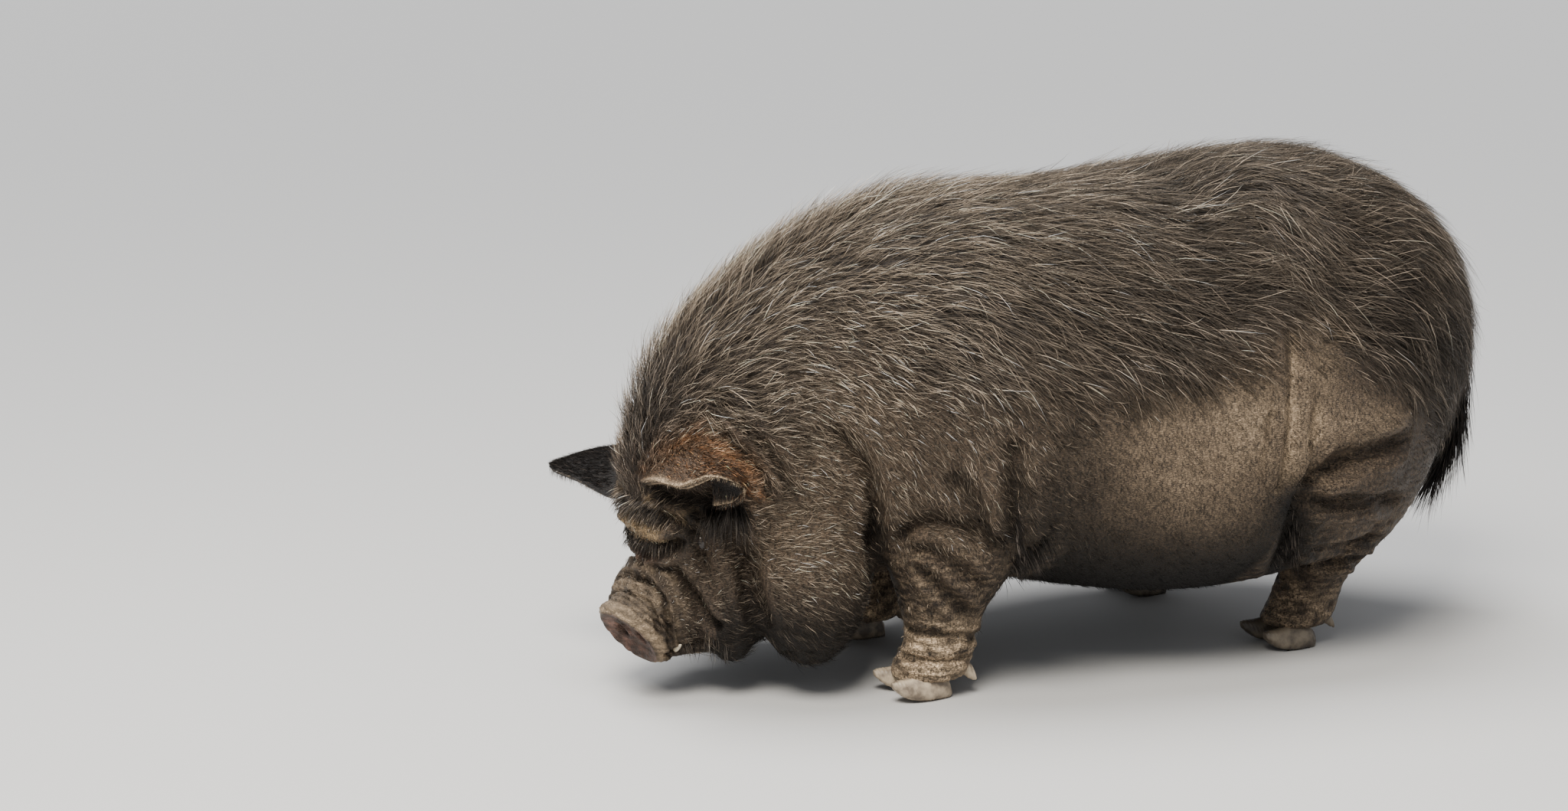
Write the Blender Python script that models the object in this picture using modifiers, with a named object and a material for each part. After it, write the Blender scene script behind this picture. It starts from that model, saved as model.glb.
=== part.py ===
"""A pot-bellied pig as a still, life-size model: a fat, short-legged pig that stands with its head down.

Metres, +Z up. The pig faces -X and its left side faces -Y. It stands on the floor z = 0.
The flesh is a few smooth lofts and swellings, fused by a voxel remesh, carved with folds, thinned to
few faces and then parted with thin cuts. Hooves, ears, eyes, tusks and tail are their own pieces.
The long coat is flat, tapered locks in staggered rows, each fused to the node that its root stands in.
"""
import math
import random

import bmesh
import bpy
import numpy as np
from mathutils import Matrix, Vector
from mathutils.bvhtree import BVHTree

# Driving dimensions
life_size = 0.94          # the finished pig is this share of the sizes below, which were fitted to the photo
gap = 0.00032             # between any two pieces that touch
voxel = 0.0055            # of the remesh that fuses the flesh
flesh_faces = 3800        # triangles of the whole flesh after thinning
head_yaw = math.radians(-8.0)   # the head is turned a little to the pig's left
yaw_start = -0.24         # x where the neck starts to turn
yaw_full = -0.42          # x where the head has turned in full
snout_yaw = math.radians(-10.0)   # the snout's disc is turned a little more
snout_pivot = -0.500      # x of the upright line that the snout turns about
snout_yaw_range = (-0.495, -0.535)    # x where that turn starts and where it is full
snout_yaw_top = (0.160, 0.125)        # z above which there is none, and below which it is full
snout_yaw_side = (0.075, 0.060)       # the same for the distance from the middle
ring_points = 40          # points round a loft's section

# Sections of trunk, neck and head, from the rump forward. Each is
# (top x, top z, bottom x, bottom z, half width, height share of the widest place, upper power, lower power)
trunk_sections = (
    (0.637, 0.405, 0.639, 0.335, 0.030, 0.50, 2.0, 2.0),
    (0.621, 0.452, 0.623, 0.288, 0.060, 0.50, 2.1, 2.0),
    (0.588, 0.500, 0.590, 0.262, 0.102, 0.48, 2.1, 2.0),
    (0.550, 0.538, 0.552, 0.232, 0.152, 0.48, 2.1, 2.0),
    (0.490, 0.574, 0.492, 0.192, 0.206, 0.48, 2.2, 2.0),
    (0.415, 0.604, 0.412, 0.132, 0.250, 0.46, 2.2, 2.2),
    (0.330, 0.620, 0.320, 0.094, 0.277, 0.43, 2.1, 2.4),
    (0.220, 0.615, 0.220, 0.080, 0.286, 0.42, 2.1, 2.5),
    (0.110, 0.602, 0.110, 0.082, 0.286, 0.41, 2.1, 2.5),
    (0.000, 0.594, 0.000, 0.096, 0.277, 0.42, 2.1, 2.4),
    (-0.100, 0.589, -0.100, 0.118, 0.258, 0.43, 2.1, 2.3),
    (-0.200, 0.579, -0.185, 0.130, 0.238, 0.45, 2.1, 2.2),
    (-0.300, 0.547, -0.240, 0.125, 0.214, 0.47, 2.1, 2.1),
    (-0.390, 0.500, -0.275, 0.112, 0.188, 0.48, 2.0, 2.1),
    (-0.463, 0.446, -0.305, 0.084, 0.160, 0.48, 2.0, 2.1),
    (-0.511, 0.383, -0.335, 0.062, 0.131, 0.46, 2.1, 2.1),
    (-0.537, 0.312, -0.370, 0.050, 0.102, 0.46, 2.2, 2.1),
    (-0.538, 0.250, -0.402, 0.045, 0.082, 0.50, 2.3, 2.1),
    (-0.526, 0.199, -0.430, 0.043, 0.070, 0.52, 2.3, 2.1),
    (-0.519, 0.163, -0.452, 0.042, 0.060, 0.50, 2.2, 2.1),
    (-0.534, 0.141, -0.474, 0.044, 0.052, 0.48, 2.1, 2.2),
    (-0.558, 0.124, -0.504, 0.043, 0.050, 0.48, 2.1, 2.2),
    (-0.574, 0.110, -0.526, 0.044, 0.047, 0.50, 2.1, 2.1),
)

# Swellings of the left side: centre, radii. The right side has the same.
swellings = {
    "jowl": ((-0.350, -0.102, 0.160), (0.084, 0.082, 0.122)),
    "cheek": ((-0.440, -0.060, 0.140), (0.044, 0.044, 0.098)),
    "brow": ((-0.494, -0.044, 0.216), (0.034, 0.034, 0.024)),
    "muzzle": ((-0.505, -0.034, 0.108), (0.040, 0.032, 0.048)),
    "ham": ((0.360, -0.126, 0.325), (0.155, 0.130, 0.205)),
}

# Low bulges of the left side: centre, radii, height. The right side has the same.
bulges = {
    "shoulder": ((-0.175, -0.200, 0.300), (0.120, 0.200, 0.160), 0.020),
    "elbow": ((-0.130, -0.220, 0.210), (0.060, 0.120, 0.070), 0.020),
    "flank": ((0.330, -0.250, 0.260), (0.080, 0.200, 0.130), 0.016),
    "belly": ((0.120, -0.230, 0.200), (0.200, 0.200, 0.120), 0.014),
    "loin": ((0.400, -0.150, 0.600), (0.160, 0.160, 0.120), 0.010),
}

# Legs, from the body down to the fetlock: (x, z, y out from the foot's, half length, half width)
front_leg_rows = (
    (-0.172, 0.300, -0.010, 0.090, 0.066),
    (-0.184, 0.230, -0.006, 0.080, 0.062),
    (-0.187, 0.185, 0.000, 0.071, 0.057),
    (-0.188, 0.145, 0.002, 0.058, 0.050),
    (-0.190, 0.108, 0.000, 0.046, 0.043),
    (-0.190, 0.080, 0.000, 0.041, 0.038),
    (-0.194, 0.056, 0.000, 0.040, 0.040),
    (-0.203, 0.036, 0.000, 0.045, 0.042),
    (-0.208, 0.022, 0.000, 0.044, 0.038),
)
hind_leg_rows = (
    (0.368, 0.300, 0.000, 0.105, 0.070),
    (0.362, 0.220, 0.000, 0.084, 0.066),
    (0.352, 0.165, 0.000, 0.067, 0.058),
    (0.335, 0.125, 0.002, 0.046, 0.046),
    (0.321, 0.095, 0.002, 0.038, 0.039),
    (0.315, 0.066, 0.000, 0.041, 0.037),
    (0.306, 0.044, 0.000, 0.043, 0.040),
    (0.294, 0.028, 0.000, 0.042, 0.040),
)
# Each foot: the rows of its leg, x shift, y, and how far the leg leans out from there to its top
feet = {
    "front_left": (front_leg_rows, 0.000, -0.158, 0.000),
    "front_right": (front_leg_rows, 0.028, 0.105, 0.050),
    "hind_left": (hind_leg_rows, 0.020, -0.134, 0.030),
    "hind_right": (hind_leg_rows, -0.028, 0.158, 0.006),
}

# Folds of the left side, carved along a few places on the skin, each (path, depth, width, lip). The right
# side has the same. Places are those of the pig with its head straight.
folds = {
    "eye slit": (((-0.499, -0.082, 0.218), (-0.493, -0.082, 0.195), (-0.484, -0.082, 0.172)),
                 0.012, 0.009, 0.004),
    "below brow": (((-0.519, 0.000, 0.172), (-0.519, -0.024, 0.178), (-0.515, -0.055, 0.191),
                    (-0.505, -0.074, 0.204)), 0.009, 0.009, 0.005),
    "above brow": (((-0.531, 0.000, 0.221), (-0.526, -0.051, 0.229), (-0.508, -0.075, 0.222)),
                   0.006, 0.010, 0.002),
    "muzzle": (((-0.510, -0.055, 0.168), (-0.500, -0.063, 0.151), (-0.489, -0.070, 0.134),
                (-0.478, -0.078, 0.112), (-0.468, -0.085, 0.090)), 0.009, 0.010, 0.004),
    "snout back": (((-0.537, 0.000, 0.139), (-0.531, -0.026, 0.142), (-0.531, -0.050, 0.125),
                    (-0.530, -0.057, 0.099), (-0.524, -0.053, 0.078)), 0.006, 0.007, 0.003),
    "snout ridge": (((-0.552, 0.000, 0.131), (-0.547, -0.025, 0.128), (-0.545, -0.045, 0.110),
                     (-0.540, -0.049, 0.086)), 0.003, 0.006, 0.003),
    "mouth": (((-0.535, -0.040, 0.058), (-0.515, -0.050, 0.060), (-0.490, -0.058, 0.062),
               (-0.466, -0.072, 0.072)), 0.008, 0.006, 0.004),
    "cheek back": (((-0.472, -0.106, 0.240), (-0.461, -0.105, 0.212), (-0.446, -0.107, 0.180),
                    (-0.438, -0.106, 0.150), (-0.431, -0.108, 0.124), (-0.418, -0.112, 0.092)),
                   0.014, 0.013, 0.004),
    "behind ear": (((-0.496, -0.072, 0.358), (-0.474, -0.104, 0.329), (-0.453, -0.122, 0.306),
                    (-0.436, -0.133, 0.280), (-0.427, -0.136, 0.250)), 0.008, 0.010, 0.003),
    "nape": (((-0.480, -0.085, 0.378), (-0.453, -0.120, 0.334), (-0.427, -0.139, 0.300),
              (-0.402, -0.149, 0.252)), 0.007, 0.011, 0.003),
    "jowl back": (((-0.372, -0.170, 0.340), (-0.340, -0.188, 0.315), (-0.316, -0.197, 0.288),
                   (-0.301, -0.195, 0.252), (-0.293, -0.178, 0.212), (-0.291, -0.166, 0.180),
                   (-0.290, -0.160, 0.140)), 0.020, 0.018, 0.006),
    "elbow front": (((-0.222, -0.244, 0.290), (-0.203, -0.248, 0.264), (-0.181, -0.247, 0.230),
                     (-0.168, -0.243, 0.200)), 0.008, 0.013, 0.004),
    "elbow back": (((-0.150, -0.266, 0.330), (-0.150, -0.265, 0.280), (-0.146, -0.262, 0.240),
                    (-0.142, -0.245, 0.196)), 0.012, 0.014, 0.005),
    "leg top": (((-0.262, -0.185, 0.198), (-0.250, -0.209, 0.221), (-0.224, -0.227, 0.228),
                 (-0.197, -0.237, 0.220), (-0.173, -0.243, 0.203), (-0.153, -0.241, 0.184)),
                0.011, 0.010, 0.004),
    "leg middle": (((-0.258, -0.190, 0.190), (-0.237, -0.217, 0.192), (-0.211, -0.225, 0.176),
                    (-0.182, -0.226, 0.155), (-0.160, -0.218, 0.140)), 0.006, 0.010, 0.003),
    "leg low": (((-0.248, -0.199, 0.172), (-0.230, -0.213, 0.158), (-0.203, -0.214, 0.128),
                 (-0.166, -0.200, 0.102)), 0.009, 0.009, 0.004),
    "ham": (((0.224, -0.292, 0.240), (0.240, -0.294, 0.260), (0.283, -0.295, 0.276),
             (0.330, -0.293, 0.282), (0.396, -0.272, 0.292)), 0.013, 0.013, 0.006),
    "ham low": (((0.228, -0.286, 0.224), (0.276, -0.284, 0.222), (0.340, -0.268, 0.216),
                 (0.398, -0.233, 0.200)), 0.010, 0.012, 0.005),
    "hock top": (((0.235, -0.250, 0.165), (0.276, -0.245, 0.156), (0.320, -0.236, 0.152),
                  (0.350, -0.225, 0.152), (0.392, -0.190, 0.154)), 0.010, 0.010, 0.005),
    "hock low": (((0.296, -0.195, 0.112), (0.326, -0.208, 0.114), (0.350, -0.208, 0.122),
                  (0.380, -0.185, 0.122)), 0.009, 0.010, 0.004),
    "groin": (((0.224, -0.290, 0.246), (0.216, -0.275, 0.200), (0.226, -0.245, 0.150),
               (0.250, -0.205, 0.112)), 0.014, 0.014, 0.004),
    "flank front": (((0.176, -0.287, 0.345), (0.168, -0.294, 0.300), (0.164, -0.292, 0.250)),
                    0.003, 0.012, 0.003),
    "flank middle": (((0.213, -0.261, 0.439), (0.206, -0.283, 0.367), (0.196, -0.293, 0.290),
                      (0.183, -0.292, 0.235)), 0.005, 0.012, 0.004),
    "flank back": (((0.236, -0.286, 0.345), (0.228, -0.292, 0.295), (0.214, -0.290, 0.235)),
                   0.005, 0.012, 0.004),
    "pastern top": (((-0.230, -0.140, 0.084), (-0.222, -0.188, 0.083), (-0.195, -0.199, 0.080),
                     (-0.165, -0.190, 0.074), (-0.156, -0.160, 0.072)), 0.004, 0.006, 0.003),
    "pastern low": (((-0.244, -0.150, 0.050), (-0.225, -0.192, 0.049), (-0.200, -0.202, 0.049),
                     (-0.166, -0.190, 0.052)), 0.005, 0.006, 0.003),
}

# Claws of a foot: length, half width, height, rise of the tip, place of each from the foot's middle line
claw_length = 0.079
claw_half_width = 0.0165
claw_height = 0.036
claw_tip_rise = 0.020
claw_apart = 0.0205
claw_splay = math.radians(5.0)
dewclaw_sizes = {"front": (0.040, 0.0135), "hind": (0.034, 0.0105)}    # length, radius

# Ears: middle of the base, directions of length and of width in the straight head, sizes
ear_base = (-0.492, -0.081, 0.297)
ear_along = (-0.54, -0.83, -0.10)
ear_across = (0.80, -0.52, -0.10)
ear_length = 0.120
ear_root = 0.024
ear_half_width = 0.068
ear_cup = 0.036
ear_thickness = 0.0084
ear_wave = 0.016          # by which the rear edge rises half way out
ear_roll = {1: math.radians(3.0), -1: math.radians(14.0)}    # of the left ear and of the right
ear_droop = {1: 0.00, -1: 0.10}
ear_shift = {1: (0.0, 0.0, 0.0), -1: (0.0, -0.012, -0.030)}

eye_place = (-0.4810, -0.0665, 0.1960)
eye_radius = 0.0120

tail_path = ((0.600, 0.000, 0.412), (0.637, -0.002, 0.390), (0.650, -0.006, 0.342), (0.650, -0.008, 0.292),
             (0.646, -0.010, 0.246), (0.634, -0.014, 0.208), (0.612, -0.018, 0.178))
tail_radii = (0.0140, 0.0130, 0.0105, 0.0090, 0.0080, 0.0065, 0.0035)

snout_middle = (-0.546, 0.000, 0.077)
snout_normal = (-0.815, 0.000, -0.580)
snout_depth = 0.015       # of the disc in front of its cut
nostril_apart = 0.0175
nostril_radii = (0.0085, 0.0115, 0.0120)

tusk_root = (-0.5050, -0.0380, 0.0600)
tusk_tip = (-0.5090, -0.0600, 0.0730)
tusk_radius = 0.0042

# The long coat: flat, tapered locks that overlap along its lie from the poll to the rump.
# Its lower edge is (x, z) from the head back
coat_edge = ((-0.60, 0.285), (-0.52, 0.305), (-0.46, 0.350), (-0.40, 0.370), (-0.30, 0.385), (-0.10, 0.395),
             (0.10, 0.345), (0.30, 0.325), (0.45, 0.300), (0.60, 0.250), (0.70, 0.250))
coat_depth = 0.006        # by which the flesh under the coat lies lower
lock_seed = 7
lock_row_step = 0.071     # between rows, along the back
lock_side_step = 0.073    # between the locks of a row
lock_length = 0.140
lock_half_width = 0.0325
lock_half_thickness = 0.0032
lock_heights = ((0.0, -0.0125), (0.22, 0.0050), (0.62, 0.0120), (1.0, 0.0160))    # above the flesh, by share
lock_widths = ((0.0, 0.50), (0.22, 0.95), (0.62, 0.72), (1.0, 0.0))
lock_root_length = 0.026     # how much of a lock from its root on stays in or near the flesh
head_lock_share = 0.66       # size and spacing of the locks on head and neck
head_locks_end = -0.30       # x where the locks have their full size
# Fringe behind and below each ear, on the left: root, lie
fringes = (((-0.484, -0.100, 0.258), (0.10, -0.10, -1.0)), ((-0.470, -0.104, 0.256), (0.20, -0.08, -1.0)),
           ((-0.456, -0.108, 0.254), (0.28, -0.06, -1.0)))
fringe_length = 0.074
fringe_half_width = 0.0125
# Switch of the tail: root, tip and half width of each lock
switch = (((0.646, -0.010, 0.250), (0.606, -0.024, 0.150), 0.0100),
          ((0.640, -0.012, 0.228), (0.592, -0.008, 0.140), 0.0090),
          ((0.630, -0.015, 0.204), (0.586, -0.020, 0.126), 0.0085),
          ((0.620, -0.017, 0.188), (0.602, -0.028, 0.116), 0.0080))

# Cuts between torso and neck, and between neck and head: a place on the cut and the way it faces
neck_cut = ((-0.318, 0.000, 0.200), (-0.940, 0.000, -0.340))
head_cut = ((-0.424, 0.000, 0.190), (-0.989, 0.000, -0.148))

# Boxes that part the legs from the body: low and high x, inner y, top z
front_leg_box = (-0.276, -0.095, 0.045, 0.176)
hind_leg_box = (0.215, 0.520, 0.050, 0.150)


def clear_scene():
    for old in list(bpy.data.objects):
        bpy.data.objects.remove(old)


def spline_rows(rows, steps):
    """Catmull-Rom rows through the given rows, with steps new rows between each two."""
    rows = np.array(rows, float)
    ends = np.vstack((2 * rows[0] - rows[1], rows, 2 * rows[-1] - rows[-2]))
    made = []
    for i in range(1, len(ends) - 2):
        before, here, there, after = ends[i - 1:i + 3]
        for step in range(steps):
            t = step / steps
            made.append(0.5 * (2 * here + (there - before) * t
                               + (2 * before - 5 * here + 4 * there - after) * t * t
                               + (3 * here - before - 3 * there + after) * t ** 3))
    made.append(rows[-1])
    return np.array(made)


def signed_power(values, power):
    return np.sign(values) * np.abs(values) ** power


def object_from(name, points, faces):
    mesh = bpy.data.meshes.new(name)
    mesh.from_pydata([tuple(p) for p in points], [], faces)
    mesh.validate()
    made = bpy.data.objects.new(name, mesh)
    bpy.context.scene.collection.objects.link(made)
    return made


def closed_loft(name, rings, leaf=False):
    """A closed surface through rings of equally many points; the ends are fans, or strips across a leaf."""
    count = len(rings[0])
    points = [p for ring in rings for p in ring]
    faces = []
    for i in range(len(rings) - 1):
        for j in range(count):
            k = (j + 1) % count
            faces.append((i * count + j, i * count + k, (i + 1) * count + k, (i + 1) * count + j))
    for i, ring in ((0, rings[0]), (len(rings) - 1, rings[-1])):
        if leaf:
            for j in range(count // 2 - 1):
                strip = (i * count + j, i * count + j + 1, (i + 1) * count - 2 - j, (i + 1) * count - 1 - j)
                faces.append(strip[::-1] if i == 0 else strip)
            continue
        points.append(np.mean(ring, axis=0))
        for j in range(count):
            k = (j + 1) % count
            corner = (i * count + j, i * count + k, len(points) - 1)
            faces.append(corner[::-1] if i == 0 else corner)
    made = object_from(name, points, faces)
    fix = bmesh.new()
    fix.from_mesh(made.data)
    bmesh.ops.recalc_face_normals(fix, faces=fix.faces)
    fix.to_mesh(made.data)
    fix.free()
    return made


def trunk_ring(row):
    top_x, top_z, low_x, low_z, half, share, upper, lower = row
    turn = np.linspace(0, 2 * math.pi, ring_points, endpoint=False)
    across, along = np.cos(turn), np.sin(turn)
    power = np.where(along > 0, upper, lower)
    across = signed_power(across, 2 / power)
    along = np.where(along > 0, (1 - share) * signed_power(along, 2 / power),
                     share * signed_power(along, 2 / power)) + share
    return np.stack((low_x + (top_x - low_x) * along, half * across, low_z + (top_z - low_z) * along), 1)


def level_ring(x, y, z, half_long, half_wide, power=2.2):
    turn = np.linspace(0, 2 * math.pi, ring_points, endpoint=False)
    return np.stack((x + half_long * signed_power(np.cos(turn), 2 / power),
                     y + half_wide * signed_power(np.sin(turn), 2 / power), np.full(ring_points, z)), 1)


def leg(name, rows, shift_x, foot_y, lean):
    outward = math.copysign(1, foot_y)
    rings = []
    for x, z, y, half_long, half_wide in spline_rows(rows, 4):
        y += lean * min(1.0, max(0.0, (z - 0.07) / 0.13))
        rings.append(level_ring(x + shift_x, foot_y + outward * y, z, half_long, half_wide))
    return closed_loft(name, rings)


def ball(name, centre, radii):
    bpy.ops.mesh.primitive_uv_sphere_add(segments=40, ring_count=24, radius=1, location=centre)
    made = bpy.context.object
    made.name = name
    made.scale = radii
    bpy.ops.object.transform_apply(location=True, rotation=False, scale=True)
    return made


def fused_flesh():
    pieces = [closed_loft("trunk", [trunk_ring(row) for row in spline_rows(trunk_sections, 4)])]
    for name, (centre, radii) in swellings.items():
        for side in (1, -1):
            pieces.append(ball(name, (centre[0], side * centre[1], centre[2]), radii))
    for name, (rows, shift_x, foot_y, lean) in feet.items():
        pieces.append(leg(name, rows, shift_x, foot_y, lean))
    bpy.ops.object.select_all(action="DESELECT")
    for piece in pieces:
        piece.select_set(True)
    bpy.context.view_layer.objects.active = pieces[0]
    bpy.ops.object.join()
    flesh = bpy.context.object
    remesh = flesh.modifiers.new("fuse", "REMESH")
    remesh.mode = "VOXEL"
    remesh.voxel_size = voxel
    bpy.ops.object.modifier_apply(modifier=remesh.name)
    smooth = flesh.modifiers.new("soften", "SMOOTH")
    smooth.factor = 0.5
    smooth.iterations = 14
    bpy.ops.object.modifier_apply(modifier=smooth.name)
    flesh.name = "flesh"
    return flesh


def turned_points(points):
    """The points as snout and neck carry them: a smooth turn of the snout, then one of the whole head."""
    share = smooth_share(points[:, 0], *snout_yaw_range) * smooth_share(points[:, 2], *snout_yaw_top)
    share = share * smooth_share(np.abs(points[:, 1]), *snout_yaw_side)
    turned = turned_about(points, snout_pivot, snout_yaw * share)
    return turned_about(turned, yaw_start, head_yaw * smooth_share(turned[:, 0], yaw_start, yaw_full))


def smooth_share(values, none, full):
    share = np.clip((values - none) / (full - none), 0, 1)
    return share * share * (3 - 2 * share)


def turned_about(points, pivot, angle):
    from_pivot = points[:, 0] - pivot
    turned = points.copy()
    turned[:, 0] = pivot + from_pivot * np.cos(angle) + points[:, 1] * np.sin(angle)
    turned[:, 1] = -from_pivot * np.sin(angle) + points[:, 1] * np.cos(angle)
    return turned


def mesh_points(made):
    flat = np.empty(len(made.data.vertices) * 3)
    made.data.vertices.foreach_get("co", flat)
    return flat.reshape(-1, 3)


def set_points(made, points):
    made.data.vertices.foreach_set("co", points.ravel())
    made.data.update()


def surface_normals(made):
    flat = np.empty(len(made.data.vertices) * 3)
    made.data.vertices.foreach_get("normal", flat)
    return flat.reshape(-1, 3)


def swell_out(made):
    points, normals = mesh_points(made), surface_normals(made)
    for centre, radii, height in bulges.values():
        for side in (1, -1):
            away = (points - np.array(centre) * (1, side, 1)) / radii
            points += normals * (height * np.exp(-(away ** 2).sum(1)))[:, None]
    set_points(made, points)


def coat_share(points):
    """1 where the long coat grows and 0 below its lower edge."""
    places, heights = zip(*coat_edge)
    over = (points[:, 2] - np.interp(points[:, 0], places, heights)) / 0.05 + 0.5
    share = np.clip(over, 0, 1)
    return share * share * (3 - 2 * share)


def lower_under_coat(made):
    points, normals = mesh_points(made), surface_normals(made)
    set_points(made, points - normals * (coat_depth * coat_share(points))[:, None])


def section_frames():
    """Middle, upward side and backward normal of each trunk section, from nape to rump."""
    frames = []
    for top_x, top_z, low_x, low_z, *rest in spline_rows(trunk_sections, 4)[::-1]:
        up = Vector((top_x - low_x, 0, top_z - low_z)).normalized()
        frames.append((Vector(((top_x + low_x) / 2, 0, (top_z + low_z) / 2)), up, Vector((up.z, 0, -up.x))))
    return frames


def hair_lie(place, normal, frames):
    """The way hair lies on the skin at a place: back along the trunk, and down the sides."""
    behind = [abs((place - middle).dot(back)) for middle, up, back in frames]
    middle, up, back = frames[behind.index(min(behind))]
    rump = min(1.0, max(0.0, (place.x - 0.44) / 0.16))
    down = (0.15 + 0.75 * min(1.0, abs(place.y) / 0.26)) * (1 - rump) + 1.4 * rump
    lie = back * (1 - 0.85 * rump) - Vector((0, 0, down))
    lie -= normal * lie.dot(normal)
    return lie.normalized()


def lock(name, tree, frames, place, length, half_width, lean, bend, lift, given=None):
    """A flat, tapered, closed lock, ridged above, that follows the skin; its root is sunk in the flesh."""
    stations = []
    share_before = 0.0
    for share, height in lock_heights:
        normal = tree.find_nearest(place)[1]
        lie = given or hair_lie(place, normal, frames)
        lie = (lie + normal.cross(lie) * (lean + bend * share)).normalized()
        place, normal = tree.find_nearest(place + lie * length * (share - share_before))[:2]
        share_before = share
        middle = place + normal * (height * min(1.0, half_width / 0.02) + lift * share * share)
        half = half_width * np.interp(share, *zip(*lock_widths))
        stations.append((middle, normal.cross(lie).normalized() * half,
                         normal * 2 * lock_half_thickness * (1.0 - 0.5 * share)))
    return blade(name, stations)


def blade(name, stations):
    """A closed blade through stations of middle, half width and ridge height; the last one is the tip."""
    points = [tuple(p) for middle, aside, ridge in stations[:-1]
              for p in (middle - aside, middle + aside, middle + ridge)] + [tuple(stations[-1][0])]
    faces = [(2, 1, 0)]
    last = 3 * (len(stations) - 2)
    for i in range(0, last, 3):
        faces += [(i + j, i + (j + 1) % 3, i + 3 + (j + 1) % 3, i + 3 + j) for j in range(3)]
    faces += [(last + j, last + (j + 1) % 3, last + 3) for j in range(3)]
    made = object_from(name, points, faces)
    as_triangles(made)
    return made


def carrier(place, lie, size, cuts):
    """The node a lock's root stands in, and the way back along the lie that clears the cut behind it."""
    for name, (cut_place, cut_normal) in cuts:
        ahead = (place - cut_place).dot(cut_normal)
        straight = abs(lie.dot(cut_normal))
        corner = 0.8 * size * lock_half_width * math.sqrt(1 - straight * straight)
        if ahead > size * lock_root_length * straight + corner:
            return name, 0.0
        if ahead > -0.003 - corner:
            return name, (ahead + 0.005 + corner) / max(0.4, straight)
    return "torso", 0.0


def coat_locks(flesh, cuts):
    """Staggered rows of locks from the poll to the rump, listed by the node that carries them."""
    seeded = random.Random(lock_seed)
    tree = BVHTree.FromObject(flesh, bpy.context.evaluated_depsgraph_get())
    frames = section_frames()
    locks = {"head": [], "neck": [], "torso": []}
    travelled, row = 0.0, 0
    for i in range(1, len(frames)):
        middle, up, back = frames[i]
        top_before = tree.ray_cast(frames[i - 1][0], frames[i - 1][1])[0]
        top = tree.ray_cast(middle, up)[0]
        if top is None or top_before is None or top.z < 0.30:
            continue
        size = head_lock_share if top.x < head_locks_end else 1.0
        travelled += (top - top_before).length
        if travelled < lock_row_step * size:
            continue
        travelled = 0.0
        row += 1
        for side in (1, -1):
            angle = 0.0 if row % 2 else 0.5 * size * lock_side_step / 0.25
            while angle < 2.2:
                if angle < 0.01 and side < 0:
                    angle += size * lock_side_step / 0.25
                    continue
                towards = up * math.cos(angle) + Vector((0, side, 0)) * math.sin(angle)
                place, normal, index, reach = tree.ray_cast(middle, towards)
                angle += size * lock_side_step / max(0.05, reach if place else 0.3)
                if place is None or coat_share(np.array([place]))[0] < 0.35:
                    continue
                lie = hair_lie(place, normal, frames)
                holder, back_by = carrier(place, lie, size, cuts)
                if back_by:
                    place = tree.find_nearest(place + lie * back_by)[0]
                    holder = carrier(place, lie, size, cuts)[0]
                locks[holder].append(lock("lock", tree, frames, place,
                                          size * lock_length * seeded.uniform(0.86, 1.14),
                                          size * lock_half_width * seeded.uniform(0.88, 1.08),
                                          seeded.uniform(-0.12, 0.12), seeded.uniform(-0.35, 0.35),
                                          seeded.uniform(-0.001, 0.006)))
    for (x, y, z), lie in fringes:
        for side in (1, -1):
            place = tree.find_nearest(turned_place((x, side * y, z)))[0]
            towards = Vector((lie[0], side * lie[1], lie[2])).normalized()
            length = fringe_length * seeded.uniform(0.85, 1.15)
            locks["head"].append(lock("fringe", tree, frames, place, length, fringe_half_width,
                                      0.0, seeded.uniform(-0.2, 0.2), 0.004, towards))
    return locks


def switch_locks():
    """The blades at the end of the tail, each from a root in the tail, bowed a little on its way down."""
    made = []
    for i, (root, tip, half) in enumerate(switch):
        root, tip = Vector(root), Vector(tip)
        towards = (tip - root).normalized()
        turn = i * 0.8
        aside = Vector((math.cos(turn), math.sin(turn), 0)).cross(towards).normalized()
        ridge = towards.cross(aside)
        stations = []
        for share, wide in ((0.0, 0.35), (0.35, 1.0), (0.7, 0.75), (1.0, 0.0)):
            bow = ridge * 0.012 * math.sin(math.pi * share)
            stations.append((root.lerp(tip, share) + bow, aside * half * wide,
                             ridge * half * 0.5 * (1 - 0.5 * share)))
        made.append(blade("switch", stations))
    return made


def meet(one, other):
    graph = bpy.context.evaluated_depsgraph_get()
    return bool(BVHTree.FromObject(one, graph).overlap(BVHTree.FromObject(other, graph)))


def fuse_all(made, pieces):
    """Union of a closed body with all the pieces, in one Boolean; the pieces are removed."""
    group = bpy.data.collections.new("fused")
    bpy.context.scene.collection.children.link(group)
    for piece in pieces:
        for holder in list(piece.users_collection):
            holder.objects.unlink(piece)
        group.objects.link(piece)
    modifier = made.modifiers.new("fuse", "BOOLEAN")
    modifier.operation = "UNION"
    modifier.operand_type = "COLLECTION"
    modifier.collection = group
    modifier.solver = "MANIFOLD"      # EXACT leaves a few edges with four faces where locks cross
    bpy.context.view_layer.objects.active = made
    bpy.ops.object.modifier_apply(modifier=modifier.name)
    remove(*pieces)
    bpy.data.collections.remove(group)


def path_distance(points, path):
    """Distance of each point to a broken line, and how far along the line (0 to 1) its nearest place is."""
    near = np.full(len(points), 9.0)
    along = np.zeros(len(points))
    pieces = len(path) - 1
    for i in range(pieces):
        start, step = path[i], path[i + 1] - path[i]
        t = np.clip((points - start) @ step / max(step @ step, 1e-12), 0, 1)
        away = np.linalg.norm(points - start - t[:, None] * step, axis=1)
        closer = away < near
        near = np.where(closer, away, near)
        along = np.where(closer, (i + t) / pieces, along)
    return near, along


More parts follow.
